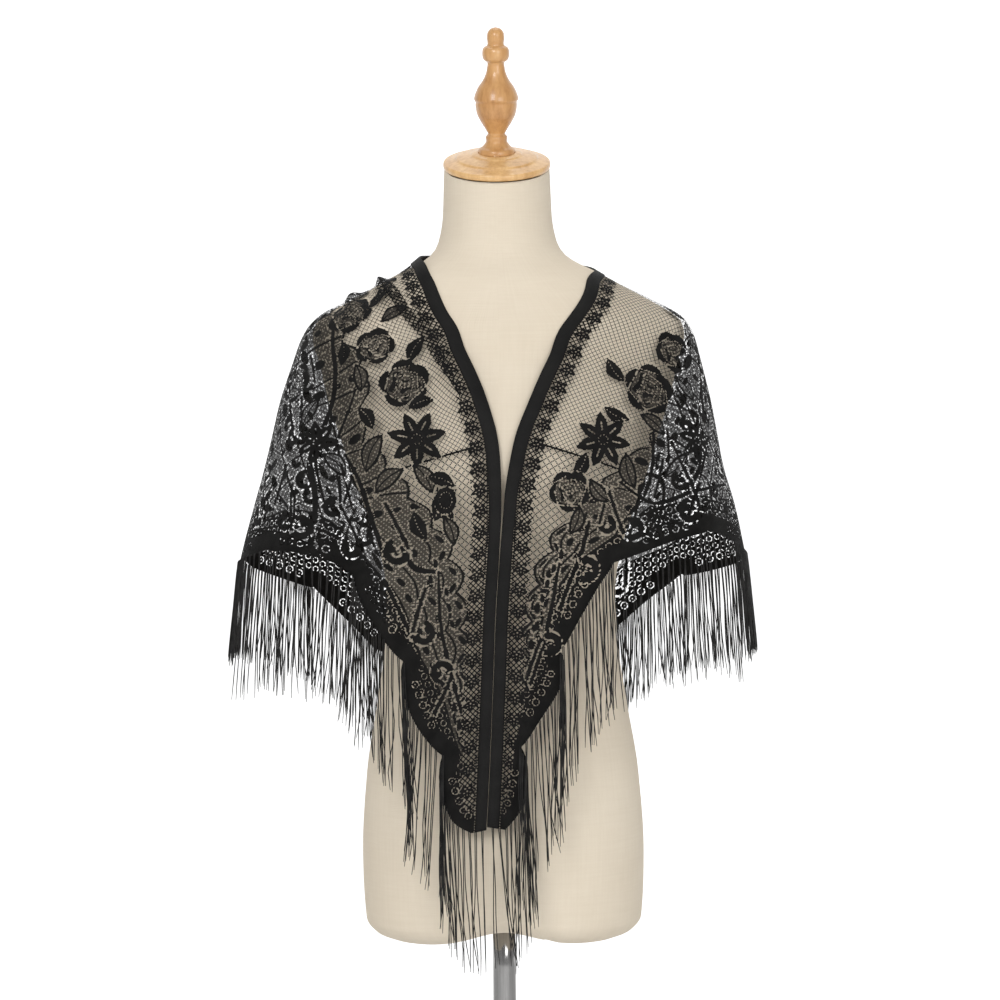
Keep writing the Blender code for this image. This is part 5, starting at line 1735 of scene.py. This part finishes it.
class Nodes:
    """A material's node tree, built in short steps."""

    def __init__(self, name):
        self.material = bpy.data.materials.new(name)
        self.material.use_nodes = True
        self.tree = self.material.node_tree
        self.shader = self.tree.nodes["Principled BSDF"]

    def put(self, socket, value):
        if isinstance(value, bpy.types.NodeSocket):
            self.tree.links.new(value, socket)
        else:
            socket.default_value = value

    def add(self, kind, inputs=(), **settings):
        """A new node's outputs."""
        node = self.tree.nodes.new(kind)
        for key, value in settings.items():
            setattr(node, key, value)
        for key, value in dict(inputs).items():
            self.put(node.inputs[key], value)
        return node.outputs

    def flat_coordinates(self, scale=(1, 1, 1)):
        uv = self.add("ShaderNodeUVMap", uv_map="cut")[0]
        return self.add("ShaderNodeMapping", {"Vector": uv, "Scale": scale})[0]

    def object_coordinates(self, scale=(1, 1, 1)):
        at = self.add("ShaderNodeTexCoord")["Object"]
        return self.add("ShaderNodeMapping", {"Vector": at, "Scale": scale})[0]

    def noise(self, vector, scale, detail=3.0, roughness=0.5):
        inputs = {"Vector": vector, "Scale": scale, "Detail": detail, "Roughness": roughness}
        return self.add("ShaderNodeTexNoise", inputs)["Fac"]

    def wave(self, vector, scale, distortion, direction):
        inputs = {"Vector": vector, "Scale": scale, "Distortion": distortion}
        return self.add("ShaderNodeTexWave", inputs, bands_direction=direction)["Fac"]

    def math(self, operation, first, second=0.0):
        return self.add("ShaderNodeMath", {0: first, 1: second}, operation=operation)[0]

    def total(self, *terms):
        """The sum of some values, each times its weight."""
        first, *others = (self.math("MULTIPLY", value, weight) for value, weight in terms)
        for other in others:
            first = self.math("ADD", first, other)
        return first

    def ramp(self, factor, stops):
        colour = self.add("ShaderNodeValToRGB", {"Fac": factor})[0]
        band = colour.node.color_ramp
        for element, (position, tone) in zip(band.elements, (stops[0], stops[-1])):
            element.position, element.color = position, (*tone, 1)
        for position, tone in stops[1:-1]:
            band.elements.new(position).color = (*tone, 1)
        return colour

    def range(self, factor, low, high, start=0.0, end=1.0):
        inputs = {"Value": factor, "From Min": start, "From Max": end, "To Min": low, "To Max": high}
        return self.add("ShaderNodeMapRange", inputs)[0]

    def finish(self, colour, roughness, bump=None, **values):
        """Sets the shader; bump is a height with its strength and distance."""
        values = {**values, "Base_Color": colour, "Roughness": roughness}
        if bump:
            keys = ("Height", "Strength", "Distance")
            values["Normal"] = self.add("ShaderNodeBump", dict(zip(keys, bump)))[0]
        for key, value in values.items():
            self.put(self.shader.inputs[key.replace("_", " ")], value)
        return self.material


def thread_material():
    nodes = Nodes("lace_thread")
    vector = nodes.flat_coordinates()
    rows, loops = nodes.wave(vector, 260, 1.5, "Y"), nodes.wave(vector, 300, 1.0, "X")
    fuzz, tone = nodes.noise(vector, 900), nodes.noise(vector, 60)
    knit = nodes.total((nodes.math("MULTIPLY", rows, loops), 1), (fuzz, 0.6))
    colour = nodes.ramp(tone, THREAD_TONES)
    rough = nodes.range(fuzz, 0.62, 0.85)
    return nodes.finish(colour, rough, (knit, 0.5, 0.0004), Specular_IOR_Level=0.12)


def mesh_material():
    """A fine knit that lets light through, most of all in its smallest holes."""
    nodes = Nodes("lace_fine_mesh")
    vector = nodes.flat_coordinates()
    rows, fuzz = nodes.wave(vector, 330, 0.6, "DIAGONAL"), nodes.noise(vector, 700)
    along, away, _ = nodes.add("ShaderNodeSeparateXYZ", {"Vector": vector})
    turns = 2 * math.pi / MESH_PITCH
    slopes = (nodes.total((along, turns), (away, lean * turns)) for lean in (1, -1))
    waves = [(nodes.math("SINE", slope), 1) for slope in slopes]
    holes = nodes.total(*waves, (nodes.noise(vector, 130, 2.0), MESH_PATCHES))
    alpha = nodes.range(holes, MESH_ALPHA, MESH_HOLE_ALPHA, *MESH_HOLES)
    colour = nodes.ramp(fuzz, MESH_TONES)
    bump = (rows, 0.4, 0.0003)
    rough = nodes.range(rows, 0.7, 0.9)
    return nodes.finish(colour, rough, bump, Alpha=alpha, Specular_IOR_Level=0.12)


def band_material():
    nodes = Nodes("band_knit")
    vector = nodes.flat_coordinates()
    ribs = nodes.wave(vector, 210, 0.8, "X")
    fuzz, tone = nodes.noise(vector, 1100), nodes.noise(vector, 40)
    height = nodes.total((ribs, 1), (fuzz, 0.7))
    colour = nodes.ramp(tone, BAND_TONES)
    rough = nodes.range(fuzz, 0.55, 0.75)
    return nodes.finish(colour, rough, (height, 0.35, 0.0004), Specular_IOR_Level=0.16)


def strand_material():
    nodes = Nodes("fringe_thread")
    vector = nodes.object_coordinates()
    tone, twist = nodes.noise(vector, 90), nodes.wave(vector, 420, 2.0, "Z")
    colour = nodes.ramp(tone, STRAND_TONES)
    rough = nodes.range(tone, 0.45, 0.65)
    return nodes.finish(colour, rough, (twist, 0.5, 0.0004), Specular_IOR_Level=0.3)


def linen_material():
    nodes = Nodes("linen_cover")
    vector = nodes.flat_coordinates()
    warp, weft = (nodes.wave(vector, 190, 1.2, direction) for direction in "XY")
    slubs = nodes.total(*((nodes.noise(nodes.flat_coordinates(scale), 420), 0.5) for scale in SLUB_SCALES))
    patches = nodes.noise(nodes.object_coordinates(), 9, 4.0)
    tone = nodes.total((slubs, 0.5), (patches, 0.5))
    weave = nodes.total((warp, 1), (weft, 1), (slubs, 1.5))
    colour = nodes.ramp(tone, LINEN_TONES)
    rough = nodes.range(slubs, 0.78, 0.95)
    return nodes.finish(colour, rough, (weave, 0.10, 0.0005), Specular_IOR_Level=0.25)


def wood_material(name, lift):
    nodes = Nodes(name)
    streaks = nodes.noise(nodes.object_coordinates((1, 1, 0.10)), 210, 5.0, 0.65)
    clouds = nodes.noise(nodes.object_coordinates((1, 1, 0.35)), 45, 4.0, 0.6)
    fine = nodes.noise(nodes.object_coordinates((1, 1, 0.05)), 1100, 2.0)
    # lift multiplies the wood's tones; above 1 it is painted light, a paler copy of the wood where light
    # falls on it
    stops = [(at, tuple(value * more for value, more in zip(tone, lift))) for at, tone in WOOD_TONES]
    colour = nodes.ramp(nodes.total((streaks, 0.5), (clouds, 0.5)), stops)
    bump = (fine, 0.08, 0.0004)
    rough = nodes.range(fine, 0.26, 0.42)
    return nodes.finish(colour, rough, bump, Coat_Weight=0.35, Coat_Roughness=0.12)


def chrome_material():
    nodes = Nodes("chrome_pole")
    lines = nodes.noise(nodes.object_coordinates((1, 1, 0.02)), 700, 2.0)
    colour = nodes.ramp(lines, CHROME_TONES)
    rough = nodes.range(lines, 0.10, 0.20)
    return nodes.finish(colour, rough, Metallic=1.0)


def base_material():
    """Steel turned in fine rings about the pole."""
    nodes = Nodes("base_steel")
    x, y, _ = nodes.add("ShaderNodeSeparateXYZ", {"Vector": nodes.add("ShaderNodeTexCoord")["Object"]})
    radius = nodes.math("SQRT", nodes.total((x, x), (y, y)))
    rings = nodes.noise(nodes.add("ShaderNodeCombineXYZ", {"X": radius})[0], 1400, 2.0)
    colour = nodes.ramp(rings, STEEL_TONES)
    rough = nodes.range(rings, 0.28, 0.42)
    return nodes.finish(colour, rough, (rings, 0.05, 0.0003), Metallic=1.0)


# ---------------------------------------------------------------- pieces

def add_lace(cloths):
    """The sheets of lace, each with its flat length and depth and the area of its cloth."""
    materials = (mesh_material(), thread_material())
    ends = neck_share_of(np.array(STRETCHES["end"])) * HALF_NECK_EDGE / CELL
    columns = [0, *(round(end) for end in ends)]
    stretches = dict(zip(STRETCHES["name"], zip(columns, columns[1:])))
    sheets = {}
    for name, stretch, sides in SHEETS:
        first, last = stretches[stretch]
        parts = [(cloths[side], *cut_out(cloths[side], first, last)) for side in sides]
        mesh, area = drape_mesh(f"lace_{name}_cloth", parts)
        piece = add_piece(f"lace_{name}_cloth", mesh, materials, f"lace_{name}")
        length = len(sides) * (last - first) * CELL
        depth = max(cloths[side].edge[first : last + 1].max() for side in sides) - FIRST_ROW * CELL
        sheets[name] = (piece, (length, depth), max(area, LEAST_AREA * length * depth))
    return sheets


def add_fringe(drapes):
    strand = strand_material()
    random = np.random.default_rng(FRINGE_SEED)
    fringe = {}
    for name, start, end in zip(*STRETCHES.values()):
        paths = {
            f"{name}_{SIDE_WORDS[side]}": strand_paths(drape, name, start, end, random)
            for side, drape in drapes.items()
        }
        if name == "back":
            paths = {name: np.concatenate([*paths.values()])}
        for where, path in paths.items():
            mesh = mesh_of_tubes(f"fringe_{where}_strands", path)
            fringe[where] = add_piece(mesh.name, mesh, [strand], f"fringe_{where}")
    return fringe


def add_shawl():
    drapes = {side: make_drape(side) for side in (LEFT, RIGHT)}
    cloths = {side: Cloth(drape) for side, drape in drapes.items()}
    for cloth in cloths.values():
        draw_lace(cloth)
    sheets = add_lace(cloths)
    band = add_piece("edge_band_binding", band_mesh(drapes), [band_material()], "edge_band")
    fringe = add_fringe(drapes)


def add_turned(node, word, profile, place_matrix, material, seat=None):
    """A round piece of the stand, from its profile."""
    name = f"{node}_{word}"
    add_piece(name, lathe_mesh(name, profile, place_matrix, seat), [material], node)


def add_form():
    add_piece("dress_form_cover", torso_mesh(), [linen_material()], "form_torso")
    # The cap gets a paler copy of the wood: painted light for its top lit from above
    wood, lit_cap_wood = wood_material("turned_wood", (1, 1, 1)), wood_material("turned_wood_cap_painted_light", CAP_PAINTED_LIGHT)
    cap_at = Matrix.Translation(CAP_CENTRE) @ Matrix.Rotation(CAP_TILT, 4, "X")
    add_turned("neck_cap", "turned", CAP_PROFILE, cap_at, lit_cap_wood)
    top = Vector((0, 0, CAP_PROFILE["height"][0]))
    finial_at = Matrix.Translation(cap_at @ top) @ Matrix.Rotation(FINIAL_TILT, 4, "X")
    seat = cap_at @ (top + Vector((0, 0, FLOOR_GAP))), cap_at.to_3x3() @ Vector((0, 0, 1))
    add_turned("finial", "turned", FINIAL_PROFILE, finial_at, wood, seat)
    add_turned("pole", "tube", POLE_PROFILE, Matrix(), chrome_material())
    add_turned("base", "disc", BASE_PROFILE, Matrix(), base_material())


def sweep_material():
    """A pale studio floor that glows white like a light box from behind the stand on."""
    nodes = Nodes("studio_floor")
    vector = nodes.object_coordinates()
    tone = nodes.ramp(nodes.noise(vector, SWEEP_CLOUDS), SWEEP_TONES)
    back = nodes.add("ShaderNodeSeparateXYZ", {"Vector": vector})["Y"]
    glow = nodes.ramp(nodes.math("DIVIDE", back, SWEEP_GLOWS_BY), SWEEP_STOPS)
    return nodes.finish(tone, SWEEP_ROUGHNESS, Emission_Color=glow, Emission_Strength=SWEEP_GLOW)


def add_sweep():
    """The floor, which bends up into a wall behind the stand."""
    bend = np.linspace(0, math.pi / 2, SWEEP_STEPS)[1:]
    curve = SWEEP_BEND + SWEEP_RADIUS * np.sin(bend)
    depth = [-SWEEP_SIDE, 0, SWEEP_BEND, *curve, curve[-1]]
    rise = [0, 0, 0, *(SWEEP_RADIUS * (1 - np.cos(bend))), SWEEP_SIDE]
    points = np.stack(np.broadcast_arrays(np.array([[-SWEEP_SIDE], [SWEEP_SIDE]]), depth, rise), -1)
    floor = bpy.data.objects.new("studio_sweep", grid_mesh("studio_sweep", points))
    floor.data.materials.append(sweep_material())
    bpy.context.scene.collection.objects.link(floor)


def add_lights():
    world = bpy.data.worlds.new("studio_world")
    bpy.context.scene.world = world
    world.use_nodes = True
    background = world.node_tree.nodes["Background"]
    background.inputs["Color"].default_value = (1.0, 1.0, 1.0, 1)
    background.inputs["Strength"].default_value = WORLD_LIGHT
    for name, place_at, target, size, power in LIGHTS:
        lamp = bpy.data.lights.new(name, "AREA")
        lamp.shape = "RECTANGLE"
        lamp.size, lamp.size_y = size
        lamp.energy = power
        item = bpy.data.objects.new(name, lamp)
        item.location = place_at
        item.rotation_euler = (Vector(target) - Vector(place_at)).to_track_quat("-Z", "Y").to_euler()
        bpy.context.scene.collection.objects.link(item)


def add_camera():
    camera = bpy.data.cameras.new("camera")
    camera.sensor_width = SENSOR_WIDTH
    camera.lens = SENSOR_WIDTH * math.hypot(CAMERA_AWAY, CAMERA_HEIGHT - AIM_HEIGHT) / FRAME_HEIGHT
    item = bpy.data.objects.new("camera", camera)
    bpy.context.scene.collection.objects.link(item)
    pitch = math.atan2(CAMERA_HEIGHT - AIM_HEIGHT, CAMERA_AWAY)
    turn = Matrix.Rotation(math.pi / 2 - pitch, 4, "X") @ Matrix.Rotation(CAMERA_ROLL, 4, "Z")
    item.matrix_world = Matrix.Translation((0, -CAMERA_AWAY, CAMERA_HEIGHT)) @ turn
    bpy.context.scene.camera = item


add_camera()
add_shawl()
add_form()
add_sweep()
add_lights()
bpy.context.scene.view_settings.view_transform = "Standard"
